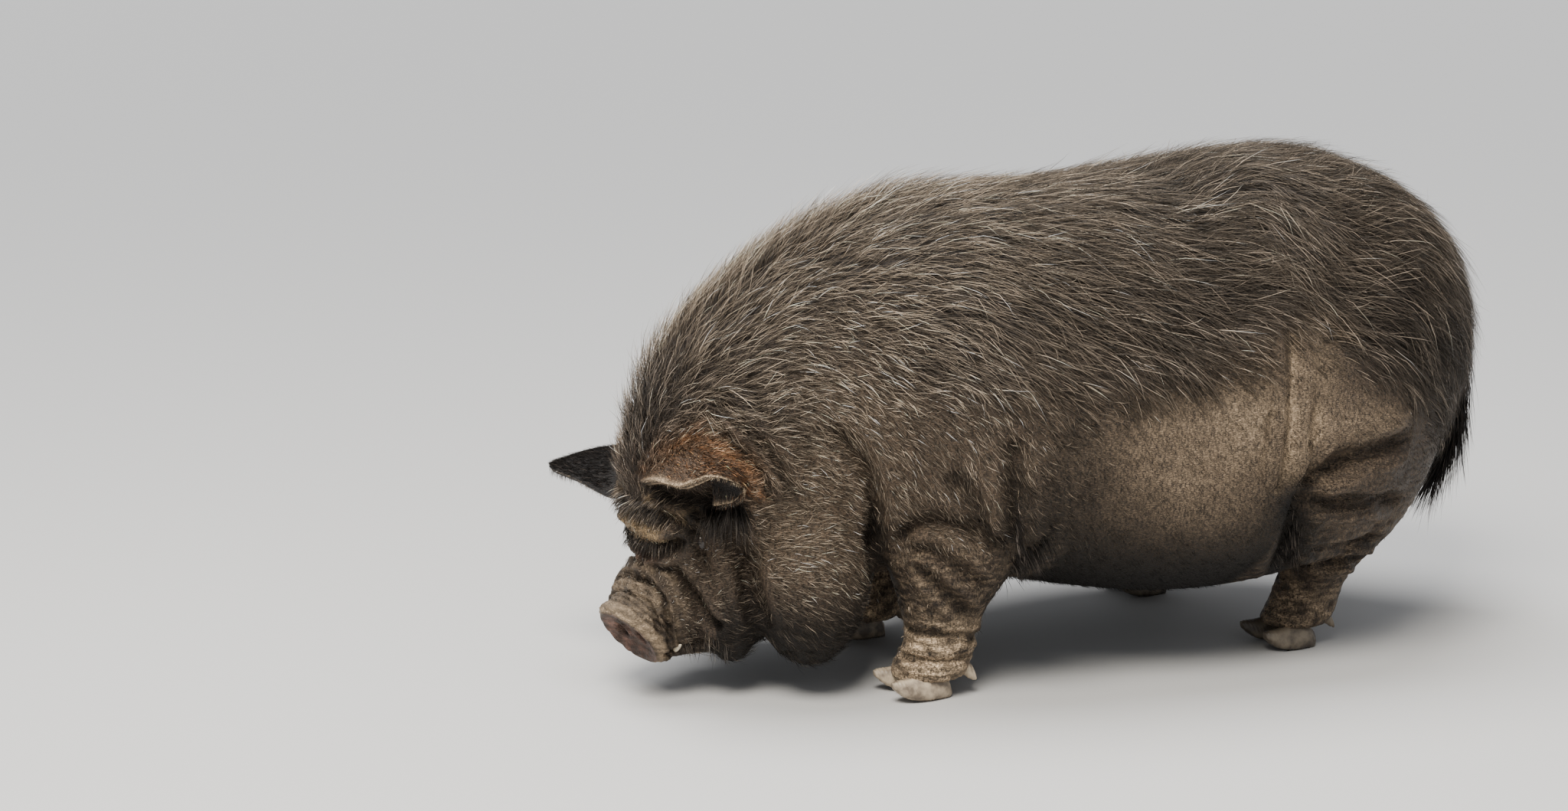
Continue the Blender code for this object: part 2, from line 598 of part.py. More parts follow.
def carve_folds(made):
    """Each fold sinks along its path and raises a soft lip on both sides; it fades out at its ends."""
    points, normals = mesh_points(made), surface_normals(made)
    tree = BVHTree.FromObject(made, bpy.context.evaluated_depsgraph_get())
    change = np.zeros(len(points))
    for path, depth, width, lip in folds.values():
        for side in (1, -1):
            curve = spline_rows([(x, side * y, z) for x, y, z in path], 4)
            curve = np.array([tree.find_nearest(Vector(p))[0] for p in curve])
            box = (points > curve.min(0) - 4 * width).all(1) & (points < curve.max(0) + 4 * width).all(1)
            near, along = path_distance(points[box], curve)
            ends = 1.0 if abs(path[0][1]) < 0.001 else np.clip(along / 0.12, 0, 1)
            fade = np.minimum(ends, np.clip((1 - along) / 0.12, 0, 1))
            sink = -depth * np.exp(-(near / width) ** 2)
            raise_up = lip * np.exp(-((near - 2.1 * width) / width) ** 2)
            change[box] += (sink + raise_up) * fade
    set_points(made, points + normals * np.maximum(change, -0.026)[:, None])
    return np.abs(change) / 0.010


def thin_out(made, faces, folded):
    """Decimate to about this many triangles, keeping more of them in the folds and on head and feet."""
    points = mesh_points(made)
    keep = made.vertex_groups.new(name="keep")
    head = np.clip((-0.38 - points[:, 0]) / 0.06, 0, 1)
    low = np.clip((0.17 - points[:, 2]) / 0.06, 0, 1) * (np.abs(points[:, 1]) > 0.09)
    face = np.clip((-0.46 - points[:, 0]) / 0.04, 0, 1)
    weight = np.clip(0.40 * head + 0.40 * face + 0.10 * low + 0.50 * folded, 0, 1)
    for share in (0.25, 0.5, 0.75, 1.0):
        chosen = np.nonzero((weight > share - 0.25) & (weight <= share))[0].tolist()
        keep.add(chosen, 1.0 - 0.75 * share, "REPLACE")
    keep.add(np.nonzero(weight <= 0)[0].tolist(), 1.0, "REPLACE")
    thin = made.modifiers.new("thin", "DECIMATE")
    thin.ratio = faces / sum(len(f.vertices) - 2 for f in made.data.polygons)
    thin.vertex_group = keep.name
    thin.vertex_group_factor = 1.0
    bpy.context.view_layer.objects.active = made
    bpy.ops.object.modifier_apply(modifier=thin.name)
    made.vertex_groups.clear()


def as_triangles(made):
    work = bmesh.new()
    work.from_mesh(made.data)
    bmesh.ops.triangulate(work, faces=work.faces)
    bmesh.ops.recalc_face_normals(work, faces=work.faces)
    work.to_mesh(made.data)
    work.free()


def cut_with(made, tool, operation):
    """One Boolean, applied; the tool object is left for the caller."""
    modifier = made.modifiers.new("cut", "BOOLEAN")
    modifier.operation = operation
    modifier.object = tool
    modifier.solver = "EXACT"
    bpy.context.view_layer.objects.active = made
    bpy.ops.object.modifier_apply(modifier=modifier.name)


def keep_largest(made):
    """Triangulate, and keep only the largest closed surface: it drops crumbs and shut-in hollows."""
    work = bmesh.new()
    work.from_mesh(made.data)
    bmesh.ops.triangulate(work, faces=work.faces)
    seen, groups = set(), []
    for start in work.faces:
        if start in seen:
            continue
        seen.add(start)
        group, front = [], [start]
        while front:
            face = front.pop()
            group.append(face)
            for edge in face.edges:
                if len(edge.link_faces) == 2:
                    fresh = [other for other in edge.link_faces if other not in seen]
                    seen.update(fresh)
                    front += fresh
        groups.append(group)
    groups.sort(key=lambda group: sum(face.calc_area() for face in group))
    lost = [face for group in groups[:-1] for face in group]
    bmesh.ops.delete(work, geom=lost, context="FACES")
    work.to_mesh(made.data)
    work.free()


def copy_of(made, name):
    twin = bpy.data.objects.new(name, made.data.copy())
    bpy.context.scene.collection.objects.link(twin)
    return twin


def grown_copy(made, amount):
    """A copy whose faces all stand off by the amount: each corner moves so that its faces do."""
    twin = copy_of(made, made.name + " room")
    work = bmesh.new()
    work.from_mesh(twin.data)
    work.normal_update()
    moves = []
    for vert in work.verts:
        normals = np.array([face.normal for face in vert.link_faces])
        moves.append(np.linalg.pinv(normals, rcond=0.15) @ np.full(len(normals), amount * 1.03))
    for vert, move in zip(work.verts, moves):
        vert.co += Vector(move)
    work.to_mesh(twin.data)
    work.free()
    return twin


def remove(*objects):
    for made in objects:
        bpy.data.objects.remove(made)


def box_between(name, low, high):
    bpy.ops.mesh.primitive_cube_add(size=1)
    made = bpy.context.object
    made.name = name
    middle = (Vector(low) + Vector(high)) / 2
    made.data.transform(Matrix.Translation(middle) @ Matrix.Diagonal((*(Vector(high) - Vector(low)), 1)))
    return made


def half_space(name, place, normal, shift):
    """A big box whose one face lies on the plane, moved by shift along the normal it fills."""
    made = box_between(name, (0, -1.5, -1.5), (3, 1.5, 1.5))
    towards = Vector(normal).normalized()
    turn = towards.to_track_quat("X", "Z").to_matrix().to_4x4()
    made.data.transform(Matrix.Translation(Vector(place) + towards * shift) @ turn)
    return made


def turned_place(place):
    return Vector(turned_points(np.array([place], float))[0])


def turned_plane(place, normal):
    """A plane of the straight head where the turned neck carries it."""
    near = Vector(place) + Vector(normal).normalized() * 0.001
    start = turned_place(place)
    return start, (turned_place(near) - start).normalized()


def claw(name, foot_x, foot_y, side):
    """One main claw: flat below, arched above, its tip drawn out and up, turned out a little."""
    rings = []
    stations = ((0.00, 0.30, 0.35), (0.05, 0.66, 0.70), (0.30, 1.00, 1.00),
                (0.55, 0.98, 0.90), (0.75, 0.84, 0.70), (0.90, 0.60, 0.46), (1.00, 0.26, 0.20))
    out = math.copysign(1, side)
    for share, wide, high in stations:
        x = -share * claw_length
        half = claw_half_width * wide
        base = claw_tip_rise * max(0.0, (share - 0.62) / 0.38) ** 1.7
        top = base + claw_height * high
        ring = [(x, out * half * side_share, base) for side_share in (-0.82, 0.82)]
        ring += [(x, out * half * a, base + (top - base) * b)
                 for a, b in ((1.0, 0.34), (0.64, 0.90), (0.0, 1.0), (-0.64, 0.90), (-1.0, 0.34))]
        rings.append(np.array(ring))
    made = closed_loft(name, rings)
    turn = Matrix.Rotation(-out * claw_splay, 4, "Z")
    made.data.transform(Matrix.Translation((foot_x + 0.022, foot_y + claw_apart * out, 0)) @ turn)
    return made


def dewclaw(name, foot_x, foot_y, side):
    """A small claw behind the fetlock, from the skin back, down and out."""
    length, widest = dewclaw_sizes[name.split("_")[0]]
    out = math.copysign(1, side)
    start = Vector((foot_x + 0.028, foot_y + out * 0.017, 0.048))
    towards = Vector((0.62, out * 0.22, -0.75)).normalized()
    rings = []
    for share, wide in ((0.0, 0.95), (0.45, 1.0), (0.80, 0.66), (1.0, 0.22)):
        centre = start + towards * share * length
        aside = Vector((0, 1, 0)).cross(towards).normalized()
        level = towards.cross(aside)
        radius = widest * wide
        rings.append(np.array([centre + aside * radius * math.cos(a) * 0.8 + level * radius * math.sin(a)
                               for a in np.linspace(0, 2 * math.pi, 6, endpoint=False)]))
    return closed_loft(name, rings)


def ear(name, side):
    """A cupped leaf: its back up, its hollow down and forward, the rear edge rolled under."""
    along = (Vector(ear_along) - Vector((0, 0, ear_droop[side]))).normalized()
    across = Vector(ear_across)
    across = (across - along * across.dot(along)).normalized()
    up = across.cross(along)
    if up.z < 0:
        up = -up
    roll = ear_roll[side]
    across, up = across * math.cos(roll) + up * math.sin(roll), up * math.cos(roll) - across * math.sin(roll)
    rings = []
    widths = ((-ear_root / ear_length, 0.80), (0.0, 0.97), (0.2, 1.0), (0.42, 0.90), (0.62, 0.70),
              (0.80, 0.46), (0.93, 0.25), (1.0, 0.10))
    for share, wide in widths:
        half = ear_half_width * wide
        cup = ear_cup * wide * (1 - 0.75 * max(0, share) ** 0.8)
        centre = Vector(ear_base) + Vector(ear_shift[side]) + along * ear_length * share
        thick = ear_thickness * (1.25 - 0.55 * max(0, share)) * 0.5
        outer, inner = [], []
        for v in np.linspace(-1, 1, 9):
            wave = ear_wave * max(0.0, v) ** 2 * math.sin(math.pi * max(0.0, share))
            drop = cup * (abs(v) ** 2.2) * (1.15 if v > 0 else 0.9) - 0.3 * cup
            rim = 1.0 - 0.22 * abs(v) ** 6
            inward = 1.0 - 0.10 * abs(v) ** 3 * (1 - max(0, share))
            middle = centre + across * half * v * inward + up * (wave - drop)
            outer.append(middle + up * thick * rim)
            inner.append(middle - up * thick * rim)
        rings.append(np.array([tuple(p) for p in outer + inner[::-1]]))
    made = closed_loft(name, rings, leaf=True)
    points = mesh_points(made)
    points[:, 1] *= side
    set_points(made, turned_points(points))
    as_triangles(made)
    return made


def tube(name, path, radii, count):
    """A closed tube of round sections along a path."""
    rows = spline_rows([(*place, radius) for place, radius in zip(path, radii)], 2)
    rings = []
    for i, row in enumerate(rows):
        before, after = rows[max(0, i - 1), :3], rows[min(len(rows) - 1, i + 1), :3]
        towards = Vector(after - before).normalized()
        aside = towards.cross(Vector((0, 1, 0))).normalized()
        level = aside.cross(towards)
        centre = Vector(row[:3])
        rings.append(np.array([tuple(centre + (aside * math.cos(a) + level * math.sin(a)) * row[3])
                               for a in np.linspace(0, 2 * math.pi, count, endpoint=False)]))
    return closed_loft(name, rings)


def eyeball(name, side):
    place = turned_place((eye_place[0], side * eye_place[1], eye_place[2]))
    bpy.ops.mesh.primitive_uv_sphere_add(segments=10, ring_count=7, radius=eye_radius, location=place)
    made = bpy.context.object
    made.name = name
    bpy.ops.object.transform_apply(location=True)
    return made


def tusk(name, side):
    root = turned_place((tusk_root[0], side * tusk_root[1], tusk_root[2]))
    tip = turned_place((tusk_tip[0], side * tusk_tip[1], tusk_tip[2]))
    ends = [root, root + (tip - root) * 0.5, root + (tip - root) * 0.85, tip]
    shares = (1.0, 0.85, 0.5, 0.12)
    return tube(name, ends, [tusk_radius * share for share in shares], 6)


def nostrils():
    """Cutters of the two nostrils, leaning with the disc."""
    place, normal = turned_plane(snout_middle, snout_normal)
    aside = Vector((0, 0, 1)).cross(normal).normalized()
    made = []
    for side in (1, -1):
        bpy.ops.mesh.primitive_uv_sphere_add(segments=8, ring_count=6, radius=1)
        hole = bpy.context.object
        hole.name = "nostril"
        hole.data.transform(Matrix.Diagonal((nostril_radii[2], nostril_radii[0], nostril_radii[1], 1)))
        turn = normal.to_track_quat("X", "Z").to_matrix().to_4x4()
        centre = place + aside * side * nostril_apart
        hole.data.transform(Matrix.Translation(centre) @ turn)
        made.append(hole)
    return made


def material(name, colour, roughness):
    made = bpy.data.materials.new(name)
    made.use_nodes = True
    shader = made.node_tree.nodes["Principled BSDF"]
    shader.inputs["Base Color"].default_value = (*colour, 1)
    shader.inputs["Roughness"].default_value = roughness
    return made


def foot_pieces(foot):
    rows, shift_x, foot_y, lean = feet[foot]
    foot_x = rows[-1][0] + shift_x
    pieces = []
    for label, side in (("inner", -1), ("outer", 1)):
        out = side * math.copysign(1, foot_y)
        pieces.append(("hoof_" + foot + "_" + label, claw(foot, foot_x, foot_y, out)))
        pieces.append(("dewclaw_" + foot + "_" + label, dewclaw(foot, foot_x, foot_y, out)))
    return pieces


def leg_box(box, sign, grow):
    low_x, high_x, inner, top = box
    near, far = sorted((sign * (inner - grow), sign * 0.6))
    return box_between("leg box", (low_x - grow, near, -0.2), (high_x + grow, far, top + grow))


def main():
    clear_scene()
    flesh = fused_flesh()
    swell_out(flesh)
    folded = carve_folds(flesh)
    lower_under_coat(flesh)
    set_points(flesh, turned_points(mesh_points(flesh)))
    thin_out(flesh, flesh_faces, folded)
    as_triangles(flesh)
    neck_plane = (Vector(neck_cut[0]), Vector(neck_cut[1]).normalized())
    head_plane = turned_plane(*head_cut)
    locks = coat_locks(flesh, (("head", head_plane), ("neck", neck_plane)))

    nodes = {}
    floor = box_between("below floor", (-2, -2, -1), (2, 2, 0.004))
    cut_with(flesh, floor, "DIFFERENCE")
    remove(floor)

    # small pieces; each one, grown by the gap, makes room for itself in the flesh
    for side, word in ((1, "left"), (-1, "right")):
        for label, build in (("ear_", ear), ("eye_", eyeball), ("tusk_", tusk)):
            nodes[label + word] = build(label + word, side)
    nodes["tail"] = tube("tail", tail_path, tail_radii, 8)
    for foot in feet:
        nodes.update(foot_pieces(foot))
    for made in nodes.values():
        as_triangles(made)
    late_rooms = [grown_copy(made, gap) for name, made in nodes.items() if name.startswith(("ear", "tail"))]
    tools = [grown_copy(made, gap) for name, made in nodes.items() if not name.startswith(("ear", "tail"))]
    for tool in tools + nostrils():
        cut_with(flesh, tool, "DIFFERENCE")
        remove(tool)

    # parting with thin cuts
    half = gap / 2
    for foot, (rows, shift_x, foot_y, lean) in feet.items():
        box = front_leg_box if "front" in foot else hind_leg_box
        sign = math.copysign(1, foot_y)
        inside, outside = leg_box(box, sign, -half), leg_box(box, sign, half)
        node = copy_of(flesh, "leg_" + foot)
        cut_with(node, inside, "INTERSECT")
        cut_with(flesh, outside, "DIFFERENCE")
        nodes["leg_" + foot] = node
        remove(inside, outside)
    snout_place, snout_facing = turned_plane(snout_middle, snout_normal)
    snout_cut = (snout_place - snout_facing * snout_depth, snout_facing)
    plans = (("snout", (snout_cut,), (1,)),
             ("head", (snout_cut, head_plane), (-1, 1)),
             ("neck", (head_plane, neck_plane), (-1, 1)),
             ("torso", (neck_plane,), (-1,)))
    for name, planes, sides in plans:
        node = copy_of(flesh, name)
        for (place, normal), side in zip(planes, sides):
            tool = half_space("tool", place, -side * normal, -half)
            cut_with(node, tool, "DIFFERENCE")
            remove(tool)
        nodes[name] = node
    remove(flesh)

    # the coat: locks are cut back from the flesh of other nodes and fused to their own, which then makes
    # room for ears, tail and the locks of the nodes before it
    flesh_rooms = {name: grown_copy(nodes[name], 2.2 * gap) for name in ("head", "neck", "torso")}
    locks["tail"] = switch_locks()
    for name in ("tail", "head", "neck", "torso"):
        bpy.context.view_layer.update()
        for made in locks[name]:
            for other, room in flesh_rooms.items():
                if other != name and meet(made, room):
                    cut_with(made, room, "DIFFERENCE")
                    keep_largest(made)
        own_rooms = [grown_copy(made, gap) for made in locks[name]] if name != "torso" else []
        fuse_all(nodes[name], locks[name])
        bpy.context.view_layer.update()
        for room in late_rooms:
            if not room.name.startswith(name) and meet(nodes[name], room):
                cut_with(nodes[name], room, "DIFFERENCE")
        late_rooms += own_rooms
    remove(*late_rooms, *flesh_rooms.values())

    skin = ("skin", (0.052, 0.044, 0.039), 0.62)
    horn = ("horn", (0.300, 0.255, 0.200), 0.50)
    looks = {"snout": ("snout", (0.140, 0.115, 0.105), 0.50), "eye": ("eye", (0.012, 0.008, 0.006), 0.10),
             "tusk": ("tusk", (0.620, 0.560, 0.440), 0.35), "hoof": horn, "dewclaw": horn}
    collection = bpy.data.collections.new("pot_bellied_pig")
    bpy.context.scene.collection.children.link(collection)
    bpy.context.view_layer.update()
    low = np.min([mesh_points(made).min(0) for made in nodes.values()], axis=0)
    high = np.max([mesh_points(made).max(0) for made in nodes.values()], axis=0)
    shift = Matrix.Translation((-(low[0] + high[0]) / 2, -(low[1] + high[1]) / 2, 0))
    to_life = Matrix.Scale(life_size, 4) @ shift
    for name, made in nodes.items():
        keep_largest(made)
        label, colour, roughness = looks.get(name.split("_")[0], skin)
        made.name = name
        made.data.name = name
        made.data.materials.clear()
        made.data.materials.append(material(name + "_" + label, colour, roughness))
        made.data.transform(to_life)
        for holder in list(made.users_collection):
            holder.objects.unlink(made)
        collection.objects.link(made)


main()
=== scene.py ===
import math

import bmesh
import bpy
import numpy as np
from mathutils import Matrix, Vector
from mathutils.bvhtree import BVHTree
from mathutils.kdtree import KDTree


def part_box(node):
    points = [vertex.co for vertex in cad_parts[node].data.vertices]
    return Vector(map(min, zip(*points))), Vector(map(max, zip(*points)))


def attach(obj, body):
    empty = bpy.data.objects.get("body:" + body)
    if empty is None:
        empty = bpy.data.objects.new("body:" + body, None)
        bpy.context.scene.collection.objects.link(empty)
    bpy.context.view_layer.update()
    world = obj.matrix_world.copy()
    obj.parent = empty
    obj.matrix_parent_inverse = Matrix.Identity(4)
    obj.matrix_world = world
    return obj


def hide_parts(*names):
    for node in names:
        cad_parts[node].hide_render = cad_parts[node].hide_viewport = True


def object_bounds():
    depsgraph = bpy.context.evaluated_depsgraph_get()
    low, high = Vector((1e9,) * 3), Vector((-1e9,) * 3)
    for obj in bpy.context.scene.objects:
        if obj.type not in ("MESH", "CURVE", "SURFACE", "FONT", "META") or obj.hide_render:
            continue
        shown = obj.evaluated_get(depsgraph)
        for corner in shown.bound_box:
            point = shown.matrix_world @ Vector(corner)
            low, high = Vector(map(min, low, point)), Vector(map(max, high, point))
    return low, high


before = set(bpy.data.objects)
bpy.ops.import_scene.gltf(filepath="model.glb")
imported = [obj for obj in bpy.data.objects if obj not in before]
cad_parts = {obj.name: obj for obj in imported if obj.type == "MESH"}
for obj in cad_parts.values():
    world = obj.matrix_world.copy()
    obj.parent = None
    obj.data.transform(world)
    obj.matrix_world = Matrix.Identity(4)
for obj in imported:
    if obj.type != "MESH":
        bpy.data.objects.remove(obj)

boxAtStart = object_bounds()
rng = np.random.default_rng(11)      # one seeded source for every draw

# The animal is shaped with its head straight and at the size it was fitted to; toLife() then turns the
# neck, scales it and sets it where the frame stands. It faces -X and its left side faces -Y.
pig = {
    "lifeSize": 0.94,
    "headYaw": math.radians(-8.0),
    "yawStart": -0.24,
    "yawFull": -0.42,
    "snoutYaw": math.radians(-10.0),     # the snout's disc is turned a little more
    "snoutPivot": -0.500,
    "eyePlace": (-0.4810, -0.0665, 0.1960),
    "eyeRadius": 0.0120,
}


def smoothStep(values, start, end):
    share = np.clip((values - start) / (end - start), 0, 1)
    return share * share * (3 - 2 * share)


def hump(values, middle, spread):
    # 1 at the middle, falling off softly on both sides
    return np.exp(-((values - middle) / spread) ** 2)


def turnedAbout(points, pivot, angle):
    fromPivot = points[:, 0] - pivot
    turned = points.copy()
    turned[:, 0] = pivot + fromPivot * np.cos(angle) + points[:, 1] * np.sin(angle)
    turned[:, 1] = -fromPivot * np.sin(angle) + points[:, 1] * np.cos(angle)
    return turned


def turnedPoints(points):
    # A smooth turn of the snout, then one of head and neck, each about an upright line
    share = smoothStep(points[:, 0], -0.495, -0.535) * smoothStep(points[:, 2], 0.160, 0.125)
    share = share * smoothStep(np.abs(points[:, 1]), 0.075, 0.060)
    turned = turnedAbout(points, pig["snoutPivot"], pig["snoutYaw"] * share)
    share = smoothStep(turned[:, 0], pig["yawStart"], pig["yawFull"])
    return turnedAbout(turned, pig["yawStart"], pig["headYaw"] * share)


low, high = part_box("eye_left")       # the frame's own left eye tells where the whole animal stands
eyeInFrame = (np.array(low) + np.array(high)) / 2
frameShift = eyeInFrame / pig["lifeSize"] - turnedPoints(np.array([pig["eyePlace"]]))[0]


def toLife(points):
    return pig["lifeSize"] * (turnedPoints(np.asarray(points, float)) + frameShift)


print("frame loaded")


def deselectAll():
    bpy.ops.object.select_all(action="DESELECT")


def meshPoints(made):
    flat = np.empty(len(made.data.vertices) * 3)
    made.data.vertices.foreach_get("co", flat)
    return flat.reshape(-1, 3)


def setPoints(made, points):
    made.data.vertices.foreach_set("co", np.ascontiguousarray(points).ravel())
    made.data.update()


def vertexNormals(made):
    flat = np.empty(len(made.data.vertices) * 3)
    made.data.vertices.foreach_get("normal", flat)
    return flat.reshape(-1, 3)


def applyModifier(made, kind, **settings):
    bpy.context.view_layer.objects.active = made
    modifier = made.modifiers.new(kind.lower(), kind)
    for key, value in settings.items():
        setattr(modifier, key, value)
    bpy.ops.object.modifier_apply(modifier=modifier.name)


def splineRows(rows, steps):
    # Catmull-Rom rows through the given rows, with steps new rows between each two.
    rows = np.array(rows, float)
    ends = np.vstack((2 * rows[0] - rows[1], rows, 2 * rows[-1] - rows[-2]))
    made = []
    for i in range(1, len(ends) - 2):
        before, here, there, after = ends[i - 1:i + 3]
        for step in range(steps):
            t = step / steps
            made.append(0.5 * (2 * here + (there - before) * t
                               + (2 * before - 5 * here + 4 * there - after) * t * t
                               + (3 * here - before - 3 * there + after) * t ** 3))
    made.append(rows[-1])
    return np.array(made)


def signedPower(values, power):
    return np.sign(values) * np.abs(values) ** power


def makeRipples(count, seed):
    # Directions and phases for a smooth, wandering value between about -1 and 1.
    draw = np.random.default_rng(seed)
    ways = draw.normal(size=(count, 3))
    ways /= np.linalg.norm(ways, axis=1)[:, None]
    return ways * draw.uniform(0.6, 1.5, (count, 1)), draw.uniform(0, 2 * math.pi, count)


def ripple(points, size, seed):
    # A smooth value over space whose features are about this size.
    ways, phases = makeRipples(7, seed)
    waves = np.sin(points @ ways.T * (2 * math.pi / size) + phases)
    return np.clip(waves.sum(1) / 3.0, -1, 1)


def closedLoft(name, rings, leaf=False):
    # A closed surface through rings of equally many points; the ends are fans, or strips across a leaf.
    count = len(rings[0])
    points = [tuple(p) for ring in rings for p in ring]
    faces = []
    for i in range(len(rings) - 1):
        for j in range(count):
            k = (j + 1) % count
            faces.append((i * count + j, i * count + k, (i + 1) * count + k, (i + 1) * count + j))
    for i, ring in ((0, rings[0]), (len(rings) - 1, rings[-1])):
        if leaf:
            for j in range(count // 2 - 1):
                strip = (i * count + j, i * count + j + 1, (i + 1) * count - 2 - j, (i + 1) * count - 1 - j)
                faces.append(strip[::-1] if i == 0 else strip)
            continue
        points.append(tuple(np.mean(ring, axis=0)))
        for j in range(count):
            corner = (i * count + j, i * count + (j + 1) % count, len(points) - 1)
            faces.append(corner[::-1] if i == 0 else corner)
    mesh = bpy.data.meshes.new(name)
    mesh.from_pydata(points, [], faces)
    made = bpy.data.objects.new(name, mesh)
    bpy.context.scene.collection.objects.link(made)
    fix = bmesh.new()
    fix.from_mesh(mesh)
    bmesh.ops.recalc_face_normals(fix, faces=fix.faces)
    fix.to_mesh(mesh)
    fix.free()
    return made


# Trunk, neck and head are one loft. Each section, from the rump forward, is
# (top x, top z, bottom x, bottom z, half width, height share of the widest place, upper power, lower power)
body = {
    "trunkSections": (
        (0.637, 0.405, 0.639, 0.335, 0.030, 0.50, 2.0, 2.0),
        (0.621, 0.452, 0.623, 0.288, 0.060, 0.50, 2.1, 2.0),
        (0.588, 0.500, 0.590, 0.262, 0.102, 0.48, 2.1, 2.0),
        (0.550, 0.538, 0.552, 0.232, 0.152, 0.48, 2.1, 2.0),
        (0.490, 0.574, 0.492, 0.192, 0.206, 0.48, 2.2, 2.0),
        (0.415, 0.604, 0.412, 0.132, 0.250, 0.46, 2.2, 2.2),
        (0.330, 0.620, 0.320, 0.094, 0.277, 0.43, 2.1, 2.4),
        (0.220, 0.615, 0.220, 0.080, 0.286, 0.42, 2.1, 2.5),
        (0.110, 0.602, 0.110, 0.082, 0.286, 0.41, 2.1, 2.5),
        (0.000, 0.594, 0.000, 0.096, 0.277, 0.42, 2.1, 2.4),
        (-0.100, 0.589, -0.100, 0.118, 0.258, 0.43, 2.1, 2.3),
        (-0.200, 0.579, -0.185, 0.130, 0.238, 0.45, 2.1, 2.2),
        (-0.300, 0.547, -0.240, 0.125, 0.214, 0.47, 2.1, 2.1),
        (-0.390, 0.500, -0.275, 0.112, 0.188, 0.48, 2.0, 2.1),
        (-0.463, 0.446, -0.305, 0.084, 0.160, 0.48, 2.0, 2.1),
        (-0.511, 0.383, -0.335, 0.062, 0.131, 0.46, 2.1, 2.1),
        (-0.537, 0.312, -0.370, 0.050, 0.102, 0.46, 2.2, 2.1),
        (-0.538, 0.250, -0.402, 0.045, 0.082, 0.50, 2.3, 2.1),
        (-0.526, 0.199, -0.430, 0.043, 0.070, 0.52, 2.3, 2.1),
        (-0.519, 0.163, -0.452, 0.042, 0.060, 0.50, 2.2, 2.1),
        (-0.534, 0.141, -0.474, 0.044, 0.052, 0.48, 2.1, 2.2),
        (-0.558, 0.124, -0.504, 0.043, 0.050, 0.48, 2.1, 2.2),
        (-0.574, 0.110, -0.526, 0.044, 0.047, 0.50, 2.1, 2.1),
    ),
    # swellings of the left side: centre, radii
    "swellings": {
        "jowl": ((-0.350, -0.102, 0.160), (0.084, 0.082, 0.122)),
        "cheek": ((-0.440, -0.060, 0.140), (0.044, 0.044, 0.098)),
        "brow": ((-0.494, -0.044, 0.216), (0.034, 0.034, 0.024)),
        "muzzle": ((-0.505, -0.034, 0.108), (0.040, 0.032, 0.048)),
        "ham": ((0.360, -0.126, 0.325), (0.155, 0.130, 0.205)),
    },
    # low bulges of the left side: centre, radii, height
    "bulges": {
        "shoulder": ((-0.175, -0.200, 0.300), (0.120, 0.200, 0.160), 0.020),
        "elbow": ((-0.130, -0.220, 0.210), (0.060, 0.120, 0.070), 0.020),
        "flank": ((0.330, -0.250, 0.260), (0.080, 0.200, 0.130), 0.016),
        "belly": ((0.120, -0.230, 0.200), (0.200, 0.200, 0.120), 0.014),
        "loin": ((0.400, -0.150, 0.600), (0.160, 0.160, 0.120), 0.010),
    },
    # legs, from the body down to the fetlock: (x, z, y out from the foot's, half length, half width)
    "frontLeg": (
        (-0.172, 0.300, -0.010, 0.090, 0.066),
        (-0.184, 0.230, -0.006, 0.080, 0.062),
        (-0.187, 0.185, 0.000, 0.071, 0.057),
        (-0.188, 0.145, 0.002, 0.058, 0.050),
        (-0.190, 0.108, 0.000, 0.046, 0.043),
        (-0.190, 0.080, 0.000, 0.041, 0.038),
        (-0.194, 0.056, 0.000, 0.040, 0.040),
        (-0.203, 0.036, 0.000, 0.045, 0.042),
        (-0.208, 0.022, 0.000, 0.044, 0.038),
    ),
    "hindLeg": (
        (0.368, 0.300, 0.000, 0.105, 0.070),
        (0.362, 0.220, 0.000, 0.084, 0.066),
        (0.352, 0.165, 0.000, 0.067, 0.058),
        (0.335, 0.125, 0.002, 0.046, 0.046),
        (0.321, 0.095, 0.002, 0.038, 0.039),
        (0.315, 0.066, 0.000, 0.041, 0.037),
        (0.306, 0.044, 0.000, 0.043, 0.040),
        (0.294, 0.028, 0.000, 0.042, 0.040),
    ),
    # each foot: the rows of its leg, x shift, y, and how far the leg leans out to its top
    "feet": {
        "front_left": ("frontLeg", 0.000, -0.158, 0.000),
        "front_right": ("frontLeg", 0.028, 0.105, 0.050),
        "hind_left": ("hindLeg", 0.020, -0.134, 0.030),
        "hind_right": ("hindLeg", -0.028, 0.158, 0.006),
    },
    "ringPoints": 56,
    "voxel": 0.0034,
    "softenPasses": 36,
    "hideFaces": 150000,      # triangles of the hide after thinning
    "coatDepth": 0.006,       # by which the hide under the long coat lies lower
}

# Lower edge of the long coat: (x, z) from the head back
coatEdge = ((-0.60, 0.285), (-0.52, 0.305), (-0.46, 0.350), (-0.40, 0.370), (-0.30, 0.385), (-0.10, 0.400),
            (0.05, 0.398), (0.12, 0.420), (0.18, 0.452), (0.225, 0.465), (0.27, 0.425), (0.35, 0.380),
            (0.45, 0.335), (0.60, 0.270), (0.70, 0.260))

